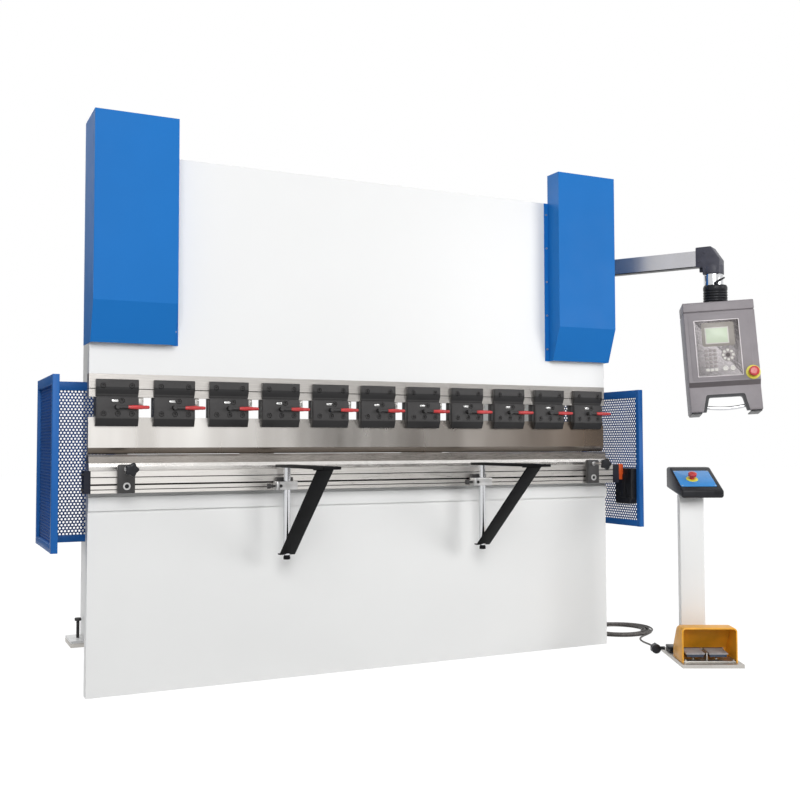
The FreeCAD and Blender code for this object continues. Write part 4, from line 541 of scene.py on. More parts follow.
def bored(part, *tools):
    """The part with the tools' volumes taken away by a Boolean difference."""
    made = []
    for points, faces in (part,) + tools:
        mesh = bpy.data.meshes.new("work")
        mesh.from_pydata(points.tolist(), [], faces)
        made.append(bpy.data.objects.new("work", mesh))
        bpy.context.scene.collection.objects.link(made[-1])
    for tool in made[1:]:
        cutter = made[0].modifiers.new("cut", "BOOLEAN")
        cutter.object = tool
        cutter.solver = "EXACT"
    result = made[0].evaluated_get(bpy.context.evaluated_depsgraph_get()).to_mesh()
    points = np.zeros(len(result.vertices) * 3)
    result.vertices.foreach_get("co", points)
    faces = [list(face.vertices) for face in result.polygons]
    for work in made:
        bpy.data.objects.remove(work)
    return points.reshape(-1, 3), faces


def across(outline, edge, width=167):
    """A bar of one outline across a clamp, with its middle at X = 0."""
    return placed(plate(outline, width, edge), (-width / 2, 0, 0), **RIGHT)


clamp_places = [(228.3 * index, 0, 0) for index in range(-5, 6)]
clamp_face = -39.5
lever_height = 1138
clamp_head = across([(-22.5, 1181), (-22.5, 1249), (-37.5, 1249), (clamp_face, 1247),
                     (clamp_face, 1206), (-28, 1181)], 1.4)
clamp_plate = across([(-14, 1062), (-14, 1080.5), (-9, 1080.5), (-9, 1178.5), (-37.5, 1178.5),
                      (clamp_face, 1176.5), (clamp_face, 1091), (-27.5, 1062)], 1.4)
head_screws = [(x, clamp_face, 1223) for x in (-56, 56)]
plate_screws = [(x, clamp_face, 1111.5) for x in (-54, 1, 56)] + [(17, clamp_face, 1164)]
counterbore = turned([(11, -9), (11, 3)], 28)


def sunk(places, part, depth):
    """The part at every place, facing the operator, sunk into the surface."""
    return [placed(part, (x, y + depth, z), **FRONT) for x, y, z in places]


clamp_head = bored(clamp_head, *sunk(head_screws, counterbore, 0))
window = placed(plate(oblong(29, 12, 5.5), 8, 0.5), (-9.5, clamp_face + 4, 1163), **FRONT)
lever_seat = placed(turned([(9.5, -12), (9.5, 3)], 28), (-3, clamp_face, lever_height), **FRONT)
clamp_plate = bored(clamp_plate, *sunk(plate_screws, counterbore, 0), window, lever_seat)
make("quick_clamps", "ram", black_oxide, repeated(joined(clamp_head, clamp_plate), clamp_places),
     30, stands_for=["clamp_plates"])
clamp_screw = socket_screw(9.4, 8)
# A thin black strip fills the gap under each clamp head: painted shade in the gap.
gap_shade_strip = across([(-34, 1178.7), (-34, 1180.8), (-24, 1180.8), (-24, 1178.7)], 0.2, 160)
make("clamp_screws_and_gap_shade", "ram", black_oxide, repeated(
    joined(gap_shade_strip, *sunk(head_screws + plate_screws, clamp_screw, 9)), clamp_places), 30)
bright_steel = ground("bright_steel", "bright_steel", (0.74, 0.74, 0.73), 0.22, "Z", 700)
make("clamp_wedge_tabs", "ram", bright_steel, repeated(
    placed(plate(oblong(26, 9, 4), 5, 0.8), (-9.5, clamp_face + 3.8, 1163), **FRONT), clamp_places))
back_block = across([(-8.9, 1099), (22.3, 1099), (22.3, 1178.8), (-8.9, 1178.8)], 1)
make("clamp_back_blocks", "ram", black_oxide, repeated(back_block, clamp_places),
     stands_for=["clamp_blocks"])
spacer = placed(plate(oblong(24, 33, 1.2, (95.8, 1162.4)), 31, 1), (0, 22.3, 0), **FRONT)
make("clamp_spacers", "ram", tool_steel, repeated(spacer, clamp_places))

# Clamp levers: a plain steel shank in a pivot, with a moulded red grip pushed on. Each
# turns a quarter round its pivot.
red_plastic = coated("red_plastic", "red_plastic", (0.52, 0.028, 0.03), 0.3, (0.85, 1.2, 45),
                     (800, 0.00006), Coat_Weight=0.3)
t = np.linspace(0, 1, 15)
grip_rows = np.stack([6.4 + 2.2 * np.sin(np.pi * t) ** 0.6 - 1.0 * np.exp(-((t - 0.8) / 0.07) ** 2),
                      42 + 78 * t], -1).tolist()
grip = turned([(5.2, 42)] + grip_rows + [(6.9, 122.5), (5.6, 124.8), (3.2, 126)], 20)
for index, place in enumerate(clamp_places, 1):
    pivot = (place[0] - 3, -53.5, lever_height)
    make("lever_grip_%d" % index, "lever_%d" % index, red_plastic,
         placed(grip, pivot, **RIGHT), stands_for=["clamp_lever_%d" % index])
    make("lever_shank_%d" % index, "lever_%d" % index, black_oxide, joined(
        placed(turned([(5.9, 0), (5.9, 8), (5.3, 12), (5.3, 46)], 18), pivot, **RIGHT),
        placed(turned([(6.6, 0), (6.6, 44), (8.6, 45), (8.6, 52), (7.4, 53.4)], 26),
               (pivot[0], -9.4, lever_height), **FRONT)), 30)

# Hydraulics: two grey cylinders on the front edges of the frames push the ram by their
# chromed rods. The white tank between the frames carries the finned pump motor.
grey_paint = coated("grey_paint", "grey_paint", (0.26, 0.27, 0.285), 0.4, (0.88, 1.1, 6, 4),
                    (380, 0.00015), Coat_Weight=0.2)
for name in ("cylinders", "pump_motor"):
    dress(name, grey_paint)
dress("piston_rods", bright_steel)
dress("oil_tank", white_paint)
black_plastic = coated("black_plastic", "black_plastic", (0.011, 0.0115, 0.014), 0.35,
                       (0.8, 1.4, 40), (1100, 0.00008), Specular_IOR_Level=0.25)
cylinder_x = 1060
flange_places = [(side * cylinder_x + x, y, 1700) for side in (-1, 1) for x in (-75, 75)
                 for y in (-75, 75)]
head_places = [(side * cylinder_x + 62 * math.cos(angle), 62 * math.sin(angle), 2240)
               for side in (-1, 1) for angle in np.arange(8) * np.pi / 4]
make("cylinder_screws", "machine", black_oxide, joined(
    repeated(socket_screw(9, 9), flange_places), repeated(socket_screw(7, 7), head_places)))
make("tank_lid_screws", "machine", bare_steel, repeated(
    socket_screw(6, 6), [(x, y, 1952) for x in range(-1000, 1001, 250) for y in (448, 772)]))
make("tank_filler_cap", "machine", black_plastic, placed(turned(
    [(32, 0), (32, 6), (24, 8), (24, 34), (38, 36), (40, 40), (40, 58), (36, 62)], 40),
    (700, 610, 1952)))
make("tank_sight_glass", "machine", black_plastic, placed(
    plate(oblong(26, 170, 12), 9, 1.5), (600, 790, 1720), **BACK))
make("motor_fins", "machine", grey_paint, joined(
    *[placed(turned([(88, 0), (98, 0.6), (98, 3), (88, 3.6)], 48), (x, 610, 2058), **RIGHT)
      for x in range(-384, -140, 13)],
    placed(plate(oblong(96, 110, 8), 52, 3), (-262, 610, 2146))), 30)

# Back gauge: two steel arms behind the bed carry a beam with the fingers that the rear edge
# of the sheet stops against.
dress("back_gauge", bare_steel)

# Covers over the cylinders: 3 mm sheet, folded, powder coated blue and screwed to the ram
# through a narrow flange.
blue_paint = coated("blue_paint", "blue_paint", (0.013, 0.165, 0.51), 0.42, (0.95, 1.05, 1.6, 4),
                    (520, 0.0001), Specular_IOR_Level=0.1)
blue_paint.rough(blue_paint.noise(9, 3), 0.38, 0.48)
for name in ("cover_left", "cover_right"):
    dress(name, blue_paint)
make("cover_screws", "ram", bare_steel, repeated(
    placed(socket_screw(5, 3), **FRONT),
    [(side * 911, -25.4, 1450 + 165 * row) for side in (-1, 1) for row in range(5)]))

# Electrical cabinet: a folded steel box on the right frame, sprayed white, with a hinged
# door, three round latches and a field of air slots.
dress("control_cabinet", white_paint)
make("cabinet_door", "machine", white_paint, placed(
    plate(oblong(440, 1140, 8, (880, 1150)), 4, 1.5), (1415, 0, 0), **RIGHT))
# The air slots are black strips laid on the door, not openings: painted shade where the slots are.
make("cabinet_fittings", "machine", black_plastic, joined(
    *[placed(plate(oblong(210, 7, 3, (880, 700 + 16 * row)), 1.6, 0.4), (1418.8, 0, 0), **RIGHT)
      for row in range(9)],
    *[placed(turned([(15, 0), (15, 5), (12, 7)], 32), (1418.8, 690, z), **RIGHT)
      for z in (800, 1150, 1500)],
    *[placed(plate(oblong(20, 62, 3, (1106, z)), 8, 1.5), (1414.8, 0, 0), **RIGHT)
      for z in (720, 1580)]))

# Guards at both ends: square tube, welded and coated blue like the covers, with perforated
# sheet let into it. They wrap round from the side to the frame.


def perforated(width, height, pitch=14.5, hole=4.8):
    """A sheet of staggered round holes: every hole is a ring of twelve points in a six-sided
    cell, and the cells' corners meet, rows 0.866 pitch apart and shifted half a pitch."""
    columns, rows = int(width / pitch) - 1, int(height / (pitch * 0.866)) - 1
    step = np.pi / 6
    corner = np.arange(6) * 2 * step + step
    rim = np.arange(12) * step
    cell = np.stack([np.cos(corner), np.sin(corner)], -1) * pitch / 2 / math.cos(step)
    ring = np.stack([np.cos(rim), np.sin(rim)], -1) * hole
    flat = np.concatenate([cell, ring])
    column, row = np.meshgrid(np.arange(columns), np.arange(rows))
    x = (column + 0.25 + 0.5 * (row % 2) - columns / 2) * pitch
    y = (row + 0.5 - rows / 2) * pitch * 0.866
    centre = np.stack([x, y], -1).reshape(-1, 1, 2)
    both = (centre + flat).reshape(-1, 2)
    count = len(both)
    points = np.concatenate([np.c_[both, np.full(count, 1.0)], np.c_[both, np.full(count, -1.0)]])
    k = np.arange(6)
    web = np.stack([k, (k + 1) % 6, 6 + (2 * k + 3) % 12, 6 + (2 * k + 2) % 12,
                    6 + 2 * k + 1], -1)
    j = np.arange(12)
    wall = np.stack([6 + j, 6 + (j + 1) % 12, 6 + (j + 1) % 12 + count, 6 + j + count], -1)
    starts = (np.arange(columns * rows) * 18)[:, None, None]
    front = (web + starts).reshape(-1, 5)
    return points, (front.tolist() + (front[:, ::-1] + count).tolist()
                    + (wall[:, ::-1] + starts).reshape(-1, 4).tolist())


def tube(low, high, corner=3.0):
    """A square tube or bar between two opposite corners, standing, with rounded edges."""
    low, high = np.array(low, float), np.array(high, float)
    middle, span = (low + high) / 2, high - low
    return placed(plate(oblong(span[0], span[1], corner, middle[:2]), span[2], 1.0),
                  (0, 0, low[2]))


def guard(side):
    """The guard's posts and rails, and its two sheets, on the left (-1) or the right (1)."""
    outer, inner, wall = 1401, 1375, 1085
    front, rear, low, high = -136, 348, 579, 1257
    posts = [((inner, front), (outer, front + 26)), ((inner, rear - 26), (outer, rear)),
             ((wall, rear - 26), (wall + 26, rear))]
    bars = [((*a, low), (*b, high)) for a, b in posts]
    for bottom, top in ((low + 0.4, low + 30), (high - 38, high - 0.4)):
        bars.append(((inner + 0.5, front + 20, bottom), (outer - 0.5, rear - 20, top)))
        bars.append(((wall + 20, rear - 25.5, bottom), (inner + 6, rear - 0.5, top)))
    tubes = [tube(*np.sort(np.array(ends) * (side, 1, 1), 0)) for ends in bars]
    sheets = [placed(perforated(462, 640), (side * 1388, 106, 914), **RIGHT),
              placed(perforated(300, 640), (side * 1230, 335, 914), **FRONT)]
    return joined(*tubes), joined(*sheets)


# The guards' tube and sheets have darker copies of the covers' blue: painted shade, with the sheets
# darker still.
shaded_guard_blue = coated("shaded_guard_blue", "blue_paint", (0.014, 0.12, 0.4), 0.42, (0.9, 1.08, 2.2, 4),
                    (520, 0.0001), Specular_IOR_Level=0.2)
shaded_sheet_blue = coated("shaded_sheet_blue", "blue_paint", (0.006, 0.055, 0.22), 0.45, (0.85, 1.3, 4, 3),
                    Specular_IOR_Level=0.15)
for name, side in (("left", -1), ("right", 1)):
    bars, sheets = guard(side)
    make("guard_frame_" + name, "machine", shaded_guard_blue, bars, 30, stands_for=["guard_" + name])
    make("guard_sheets_" + name, "machine", shaded_sheet_blue, sheets, 30)

# Guard switch on the right guard: a moulded black box, and an orange actuator on a tongue.
switch_outline = rounded([(-110, 716), (-92, 690), (20, 690), (20, 867), (-110, 867)], 8)
make("guard_switch_box", "machine", black_plastic, joined(
    placed(plate(switch_outline, 42, 5, 3), (1346, 0, 0), **RIGHT),
    placed(plate(oblong(40, 120, 8, (-45, 778)), 5, 2), (1341.5, 0, 0), **RIGHT),
    *[placed(socket_screw(4.5, 4), (1347, y, z), **LEFT) for y in (-96, 6) for z in (728, 852)]),
    30, stands_for=["guard_switch"])
orange_plastic = coated("orange_plastic", "red_plastic", (0.86, 0.115, 0.02), 0.36, (0.9, 1.1, 40),
                        (900, 0.00006))
make("guard_switch_actuator", "machine", orange_plastic,
     placed(plate(oblong(28, 78, 4, (1332, 850)), 12, 1.6), (0, -33, 0), **FRONT))

# Sheet supports: a light clamp block on a black carriage, a chromed post through it, and a
# black plate on top with a folded brace down to the foot of the post.
black_paint = coated("black_paint", "black_paint", (0.006, 0.0062, 0.0068), 0.5, (0.8, 1.4, 12),
                     (500, 0.0001), Specular_IOR_Level=0.06)
clamp_alloy = coated("clamp_alloy", "grey_paint", (0.52, 0.515, 0.51), 0.34, (0.85, 1.15, 30, 4),
                     (500, 0.00008), Metallic=0.8)
chrome = Finish("chrome", "bright_steel", (0.62, 0.625, 0.64), 0.1, Metallic=1.0)
chrome.rough(chrome.noise(60, 3), 0.07, 0.16)
brace_outline = [(-117, 532), (-142, 532), (-147, 535), (-566, 889), (-566, 893), (-520, 893),
                 (-520, 889), (-555, 889), (-141, 539), (-137, 537), (-117, 537)]
support_plate = plate(rounded([(-37, -640), (37, -640), (37, -93), (-37, -93)],
                              (10, 10, 2, 2)), 11.5, 1.2)
post_y = -135
bolt_height = 817
block_back = -87.4
for side, middle in (("left", -465), ("right", 475)):
    body = side + "_support"
    make("support_post_" + side, body, chrome, placed(
        turned([(13.5, 531), (15, 533), (15, 892.5)], 40), (middle, post_y, 0)),
        stands_for=["support_arm_" + side])
    make("support_plate_and_brace_" + side, body, black_paint, joined(
        placed(support_plate, (middle, 0, 893.3)),
        placed(plate(brace_outline, 66, 0.8), (middle - 33, 0, 0), **RIGHT),
        placed(turned([(13, 512.5), (13, 524), (12, 526), (12, 532)], 30, hexagon=(0, 1)),
               (middle, post_y, 0)),
        placed(turned([(7, 506), (7, 513)], 20), (middle, post_y, 6))), 30)
    clamp_block = bored(
        placed(plate(rounded([(-52, -157.5), (40, -157.5), (40, -110), (-52, -110)], 4), 34, 1.2),
               (middle, 0, 801)),
        placed(turned([(15.4, -4), (15.4, 40)], 40), (middle, post_y, 799)),
        placed(plate(oblong(2.4, 60, 0.8), 44, 0.2), (middle - 40, -150, 797)),
        placed(turned([(7.5, 0), (7.5, 20)], 24), (middle - 34, -150, bolt_height), **FRONT))
    make("support_clamp_" + side, side + "_carriage", clamp_alloy, clamp_block, 30,
         stands_for=["support_carriage_" + side])
    make("support_carriage_block_" + side, side + "_carriage", black_oxide, joined(
        placed(plate(oblong(72, 52, 2, (middle, 825.5)), 22.5, 1), (0, block_back, 0), **FRONT),
        placed(tube((-36, -90, 829), (36, -69.5, 835)), (middle, 0, 0)),
        placed(turned([(8, 0), (11, 1), (11, 12), (9, 14), (6, 15), (6, 36)], 24),
               (middle - 86, post_y, bolt_height), **RIGHT),
        placed(socket_screw(6.5, 10), (middle - 34, -147, bolt_height), **FRONT)), 30)

# Stop blocks: black oxide blocks clamped in the slot by a bolt, each with a star knob on a
# long bright spindle for fine setting.


def star(radius, lobes, depth, sides=60):
    """A knob whose radius swells and shrinks by a cosine once for every lobe."""
    angle = np.arange(sides) * 2 * np.pi / sides
    swell = radius * (0.88 + 0.12 * np.cos(lobes * angle))
    scale = np.array([0.62, 0.86, 0.97, 1, 1, 0.96, 0.84, 0.5, 0.3])[:, None]
    rise = np.array([0, 0.04, 0.12, 0.24, 0.72, 0.88, 0.97, 1, 1])[:, None] * depth
    return skin(np.stack([scale * swell * np.cos(angle), scale * swell * np.sin(angle),
                          rise + 0 * angle], -1))


spindle_height = 893
ring_bolt = turned([(15, -9), (15, 1.5), (13.4, 3.2), (9.4, 3.2), (8.4, 2.2), (8.2, -5)], 36)
for side, middle in (("left", -1117), ("right", 1117)):
    body = side + "_stop"
    outline = rounded([(-33, 799), (33, 799), (33, 911), (-33, 911)], (2, 2, 10, 10), 5)
    bolt_place = (middle + 1, -109.3, 826)
    block = bored(placed(plate(outline, 22, 1.2), (middle, block_back, 0), **FRONT),
                  placed(turned([(15.4, -9), (15.4, 3)], 30), bolt_place, **FRONT))
    make("stop_block_body_" + side, body, black_oxide, joined(
        block, placed(tube((-22, -89, 828.9), (22, -73.7, 835.1)), (middle, 0, 0))), 30,
        stands_for=["stop_block_" + side])
    make("stop_knob_" + side, body, black_plastic,
         placed(star(28, 5, 24), (middle, -195.3, spindle_height), **FRONT), 45)
    # A black disc in the bolt head's recess: painted shade in the socket.
    make("stop_bolt_recess_shade_" + side, body, black_plastic, placed(
        turned([(8.6, -8), (8.6, -3), (8, -2.6)], 24), bolt_place, **FRONT), 30)
    make("stop_bolt_and_spindle_" + side, body, clamp_alloy, joined(
        placed(ring_bolt, bolt_place, **FRONT),
        placed(turned([(5.5, 0), (5.5, 88)], 24), (middle, -108.5, spindle_height), **FRONT),
        placed(turned([(9.5, 0), (9.5, 7), (8.6, 8)], 24, hexagon=(0, 1)),
               (middle, -109.2, spindle_height), **FRONT)), 30)

# Pendant arm: a bracket with a pin on the right frame, a brushed steel box bar, and a cast
# elbow at its end, which carries the pendant.
grey_casting = coated("grey_casting", "grey_casting", (0.058, 0.058, 0.075), 0.45,
                      (0.85, 1.25, 25, 4), Specular_IOR_Level=0.3)
grey_casting.bump(grey_casting.noise(260, 3), 0.0003)
dress("arm_bracket", grey_casting)
arm_steel = ground("arm_steel", "ground_steel", (0.52, 0.515, 0.53), 0.34, "X", 400)
dress("arm_bar", arm_steel)
heading = math.radians(-58.5)
arm_axes = {"x": (math.cos(heading), math.sin(heading), 0),
            "y": (-math.sin(heading), math.cos(heading), 0)}


def on_arm(part):
    """A part drawn along X from the arm's pivot, set on the machine."""
    return placed(part, (1160, 499, 0), **arm_axes)


def swept(path, radius):
    """A round bar along a path: at every point a circle is set square to the path."""
    angle = np.arange(24) * np.pi / 12
    along = np.gradient(path, axis=0)
    along /= np.linalg.norm(along, axis=1, keepdims=True)
    side = np.cross(along, np.broadcast_to((0, 1, 0), along.shape))
    side /= np.linalg.norm(side, axis=1, keepdims=True)
    up = np.cross(along, side)
    radius = np.broadcast_to(radius, len(path))[:, None, None]
    return skin(path[:, None] + radius * (np.cos(angle)[:, None] * side[:, None]
                                          + np.sin(angle)[:, None] * up[:, None]))


elbow_outline = rounded([(916, 1859), (949, 1859), (949, 1822), (1033, 1822), (1033, 1893),
                         (991, 1958), (916, 1958)], (5, 5, 5, 5, 6, 6, 5), 3)
elbow = joined(placed(plate(elbow_outline, 84, 3, 3), (0, 42, 0), (1, 0, 0), (0, 0, 1)),
               placed(turned([(44, 1822.2), (49, 1824), (50, 1827), (50, 1861), (46, 1868)], 48),
                      (991, 0, 0)),
               *[placed(turned([(6, 0), (6, 3.4), (3, 4)], 6), (x, -42, z), **FRONT)
                 for x, z in ((960, 1930), (930, 1886))],
               placed(turned([(9, 0), (9, 18), (7, 20)][::-1], 24), (932, 0, 1859), (1, 0, 0),
                      (0, -1, 0)))
make("elbow_casting", "arm", grey_casting, on_arm(elbow), 40, stands_for=["arm_elbow"])
# A thin black strip under the bar: painted shade on the bar's underside.
make("arm_underside_shade", "arm", black_plastic, on_arm(
    placed(plate(oblong(870, 50, 3, (478, 0)), 4, 1), (0, 0, 1863.2))), 30)
t = np.linspace(0, 1, 25)
ribs = np.stack([54 + 4 * np.abs(np.sin(4 * np.pi * t)) ** 0.4, 1685 + 52 * t], -1).tolist()
spigot_axis = (1677.8, -346.0, 0)
pendant_axis = (1684.4, -350.4, 0)
make("pendant_swivel_ribbed", "pendant", black_plastic, placed(
    turned([(50, 1682.9), (57, 1683.2)] + ribs + [(56, 1739), (58, 1742), (58, 1757), (54, 1766),
                                                  (47, 1767.6)], 48), pendant_axis),
    stands_for=["pendant_swivel"])
make("pendant_spigot", "pendant", chrome, placed(
    turned([(46.5, 1766), (46.5, 1816), (45, 1821.6)], 48), spigot_axis))
lever_way = np.array([(-26, -44, 1776), (-22, -52, 1780), (-8, -57, 1788), (14, -60, 1800)], float)
make("swivel_lock_lever", "pendant", black_plastic, joined(
    placed(swept(lever_way, (6, 6.5, 5, 4)), spigot_axis),
    placed(turned([(9, 0), (9, 12), (7, 14)], 24), (1653, -384, 1774), **FRONT)), 40)

# Pendant: a moulded grey housing with a cap, a raised field with the keypad and a pale
# display, an emergency stop, and a chromed handle between its two legs.


def turn_matrix(axis, degrees):
    return np.array(Matrix.Rotation(math.radians(degrees), 3, axis))


lean = turn_matrix("Z", -34) @ turn_matrix("Y", -2.9) @ turn_matrix("X", -7.7)
pendant_top = np.array([1684.4, -350.4, 1673.8])
pendant_face = -65


def hung(*parts):
    """Parts drawn under the middle of the pendant's top, leaned and turned as it hangs."""
    return placed(joined(*parts), pendant_top, lean[:, 0], lean[:, 1])


def field(width, height, radius, centre, thick, proud=0.0, edge=0.8, steps=5):
    """A rounded panel on the pendant's face that stands out of it."""
    return placed(plate(oblong(width, height, radius, centre, steps), thick, edge),
                  (0, pendant_face - proud, 0), **FRONT)


pendant_plastic = coated("pendant_plastic", "pendant_plastic", (0.245, 0.223, 0.236), 0.45,
                         (0.95, 1.05, 20), (1300, 0.00008))
shell_outline = [(-65, -50.5), (-65, -398), (-50, -420), (-50, -542), (65, -542), (65, -50.5)]
shell = placed(plate(rounded(shell_outline, (5, 6, 6, 8, 8, 5), 3), 335, 3.5, 3), (-167.5, 0, 0),
               **RIGHT)
cap = placed(plate(rounded([(-65, -48), (-65, 0), (65, 0), (65, -48)], (5, 8, 8, 5), 4),
                   335, 3.5, 3), (-167.5, 0, 0), **RIGHT)


def opening(inset, flare=0):
    """The gap between the legs, widening to the foot, drawn in by an inset and let out by a
    flare at the back."""
    side = inset - flare
    return rounded([(side - 84, -464 - side), (side - 116, -600), (116 - side, -600),
                    (84 - side, -464 - side)], (12, 2, 2, 12))


def through(inset, flare, front, back):
    """The gap as a volume from front to back, wider at the back by the flare."""
    near, far = opening(inset), opening(inset, flare)
    rings = [np.stack([ring[:, 0], 0 * ring[:, 0] + y, ring[:, 1]], -1)
             for ring, y in ((far, back), (near, front))]
    return skin(rings)


handle_cut = through(0, 30, -80, 80)
make("pendant_housing", "pendant", pendant_plastic, hung(
    bored(shell, handle_cut), cap,
    placed(plate([(-162, -52), (162, -52), (162, -46), (-162, -46)], 116, 1), (0, 58, 0), **FRONT),
    field(288, 327, 10, (-4, -227), 3, -1.2, 1.0)), 32, stands_for=["pendant_box"])
below = placed(plate([(-200, -700), (200, -700), (200, -541.6), (-200, -541.6)], 200, 1),
               (0, 100, 0), **FRONT)
liner = bored(through(-6, 0, -49, -30), through(7, 0, -80, 80), below)
make("pendant_liner_and_feet", "pendant", black_plastic, hung(
    liner, *[placed(plate(oblong(50, 108, 6, (side * 139, 7)), 5.4, 1.5), (0, 0, -547.2))
             for side in (-1, 1)]), 30)
# A dark grey sheet over the sloped facet, which faces down: painted shade on the slope.
slope_shade_grey = coated("slope_shade_grey", "pendant_plastic", (0.11, 0.096, 0.1), 0.5, (0.95, 1.05, 30))
make("pendant_slope_shade", "pendant", slope_shade_grey, hung(placed(
    plate([(-65.6, -398.5), (-51, -419.8), (-49, -418.5), (-63, -397.5)], 333, 0.2),
    (-166.5, 0, 0), **RIGHT)), 30)
t = np.linspace(-1, 1, 25)
handle_path = np.stack([115 * t, -22 + 0 * t, -510 - 14 * (1 - t * t)], -1)
make("pendant_handle", "pendant", chrome, hung(swept(handle_path, 9.0)), 50)
panel_film = coated("panel_film", "pendant_plastic", (0.085, 0.072, 0.07), 0.45, (0.92, 1.08, 60),
                    Specular_IOR_Level=0.3)
panel_middle = (-16.5, -233.5)
display_middle = (-19.5, -172)
make("pendant_panel", "pendant", panel_film, hung(field(207, 275, 3, panel_middle, 4)), 30)
rim_silver = coated("rim_silver", "bright_steel", (0.62, 0.58, 0.59), 0.35, (0.94, 1.06, 80),
                    Metallic=0.3)
rim = bored(field(213, 281, 4, panel_middle, 4), field(206, 274, 3, panel_middle, 20, 10))
make("pendant_panel_rim", "pendant", rim_silver, hung(rim), 30)
bezel_grey = coated("bezel_grey", "pendant_plastic", (0.27, 0.245, 0.22), 0.35, (0.95, 1.05, 60))
make("pendant_bezel", "pendant", bezel_grey, hung(field(154, 118, 12, (-13, -166), 4.6)), 30)
display_glass = coated("display_glass", "pendant_plastic", (0.55, 0.63, 0.48), 0.3, (0.95, 1.05, 9))
make("pendant_display", "pendant", display_glass, hung(field(101, 72, 2, display_middle, 5.6)),
     30)
key_cream = coated("key_cream", "pendant_plastic", (0.62, 0.6, 0.56), 0.4, (0.93, 1.05, 90))
make("pendant_display_rim", "pendant", key_cream, hung(
    bored(field(111, 82, 3, display_middle, 5.2), field(101, 72, 2, display_middle, 20, 10))), 30)
key_grey = coated("key_grey", "pendant_plastic", (0.3, 0.27, 0.265), 0.45, (0.9, 1.1, 90))
key_places = [(-76 + 20.5 * column, -246 - 19 * row) for row in range(6) for column in range(3)]
wheel_middle = (25, pendant_face, -271)
wheel_places = [(25 + 23.5 * math.cos(k * math.pi / 4), pendant_face,
                 -271 + 23.5 * math.sin(k * math.pi / 4)) for k in range(8)]
make("pendant_keys", "pendant", key_grey, hung(
    *[field(16.5, 13.5, 2, place, 5.4, steps=3) for place in key_places[:15]],
    placed(turned([(33, 0), (33, 3.6), (31, 4.6), (14, 4.6)], 48), wheel_middle, **FRONT)), 30)
make("pendant_light_keys", "pendant", key_cream, hung(
    *[field(16.5, 13.5, 2, place, 5.8, steps=3) for place in key_places[15:]],
    *[placed(turned([(6.6, 0), (6.6, 5.2), (5.2, 6.2)], 20), place, **FRONT)
      for place in wheel_places],
    *[placed(turned([(13, 0), (13, 6), (11.4, 7.6), (9.4, 7.6), (8.6, 6.9)], 32),
             (x, pendant_face, -337), **FRONT) for x in (7.5, 41)]), 30)
make("pendant_round_key", "pendant", panel_film, hung(
    placed(turned([(10.5, 0), (10.5, 6), (9, 7.2)], 28), wheel_middle, **FRONT)), 30)
stop_yellow = coated("stop_yellow", "hood_paint", (0.76, 0.7, 0.06), 0.4, (0.92, 1.05, 60))


def stop_button(radius):
    """A mushroom head of this radius on a stem."""
    return turned([(10.8, -22), (10.8, 17), (radius * 0.7, 17.5), (radius * 0.94, 19),
                   (radius, 21.5), (radius, 30.5), (radius * 0.96, 33), (radius * 0.85, 34.4),
                   (radius * 0.5, 34.9), (6, 35)], 40)


def stop_collar(radius):
    """The flat ring round a stop button, with a bore for its stem."""
    return turned([(radius, 0), (radius, 3.4), (radius - 1.6, 5), (14, 5), (13.4, 4)], 44)


stop_place = (134, pendant_face, -362)
make("pendant_stop_collar", "pendant", stop_yellow,
     hung(placed(stop_collar(34), stop_place, **FRONT)), 30)
make("pendant_stop_head", "pendant_stop", red_plastic,
     hung(placed(stop_button(24), stop_place, **FRONT)), 40,
     stands_for=["stop_button_pendant"])

# Foot switch stand: a heavy base plate, a white square post and a black moulded head with a
# blue panel and an emergency stop.
stand_heading = math.radians(-26.5)
stand_axes = {"x": (math.cos(stand_heading), math.sin(stand_heading), 0),
              "y": (-math.sin(stand_heading), math.cos(stand_heading), 0)}


def stood(*parts):
    """Parts drawn from the base plate's near left corner, set on the floor."""
    return placed(joined(*parts), (1199, -633, 0), **stand_axes)


dress("stand_base_plate", bare_steel)
make("stand_post_tube", "machine", white_paint, stood(
    placed(plate(oblong(112, 45, 4, (105, 229.5)), 734, 0.5), (0, 0, 16.2))), 30,
    stands_for=["stand_post"])
slope = math.atan2(100, 216)
head_profile = rounded([(115, 740), (401, 778), (401, 877), (331, 877), (115, 777)],
                       (12, 12, 14, 34, 12), 6)
head = placed(plate(head_profile, 192, 11, 5), (37, 0, 0), **RIGHT)
post_room = placed(plate(oblong(113, 46, 3, (105, 229.5)), 740, 1), (0, 0, 12))
button_face = (109, 115 + 98, 777 + 98 * 100 / 216)
face_axes = {"x": (1, 0, 0), "y": (0, math.cos(slope), math.sin(slope))}
stem_room = placed(turned([(11.4, -30), (11.4, 30)], 32), button_face, **face_axes)
make("stand_head_housing", "machine", black_plastic, stood(bored(head, post_room, stem_room)), 32,
     stands_for=["stand_head"])
panel_blue = coated("panel_blue", "blue_paint", (0.04, 0.27, 0.66), 0.3, (0.94, 1.06, 20))
panel = bored(placed(plate(oblong(164, 160, 5, (87, 116)), 2, 0.6), (37, 115, 777),
                     **face_axes), stem_room)
make("stand_panel", "machine", panel_blue, stood(panel), 30)
make("stand_panel_screws", "machine", bright_steel, stood(*[
    placed(turned([(3.4, 0), (3.4, 3), (2, 3.8)], 16),
           (37 + x, 115 + y * math.cos(slope), 777 + y * math.sin(slope)), **face_axes)
    for x in (12, 162) for y in (43, 189)]), 30)
make("stand_stop_collar", "machine", stop_yellow,
     stood(placed(stop_collar(27), button_face, **face_axes)), 30)
make("stand_stop_head", "stand_stop", red_plastic,
     stood(placed(stop_button(19.5), button_face, **face_axes)), 40,
     stands_for=["stop_button_stand"])

# Pedal hood: a cast guard over the two pedals, open to the foot, painted signal yellow. Its
# walls lean in at the back.


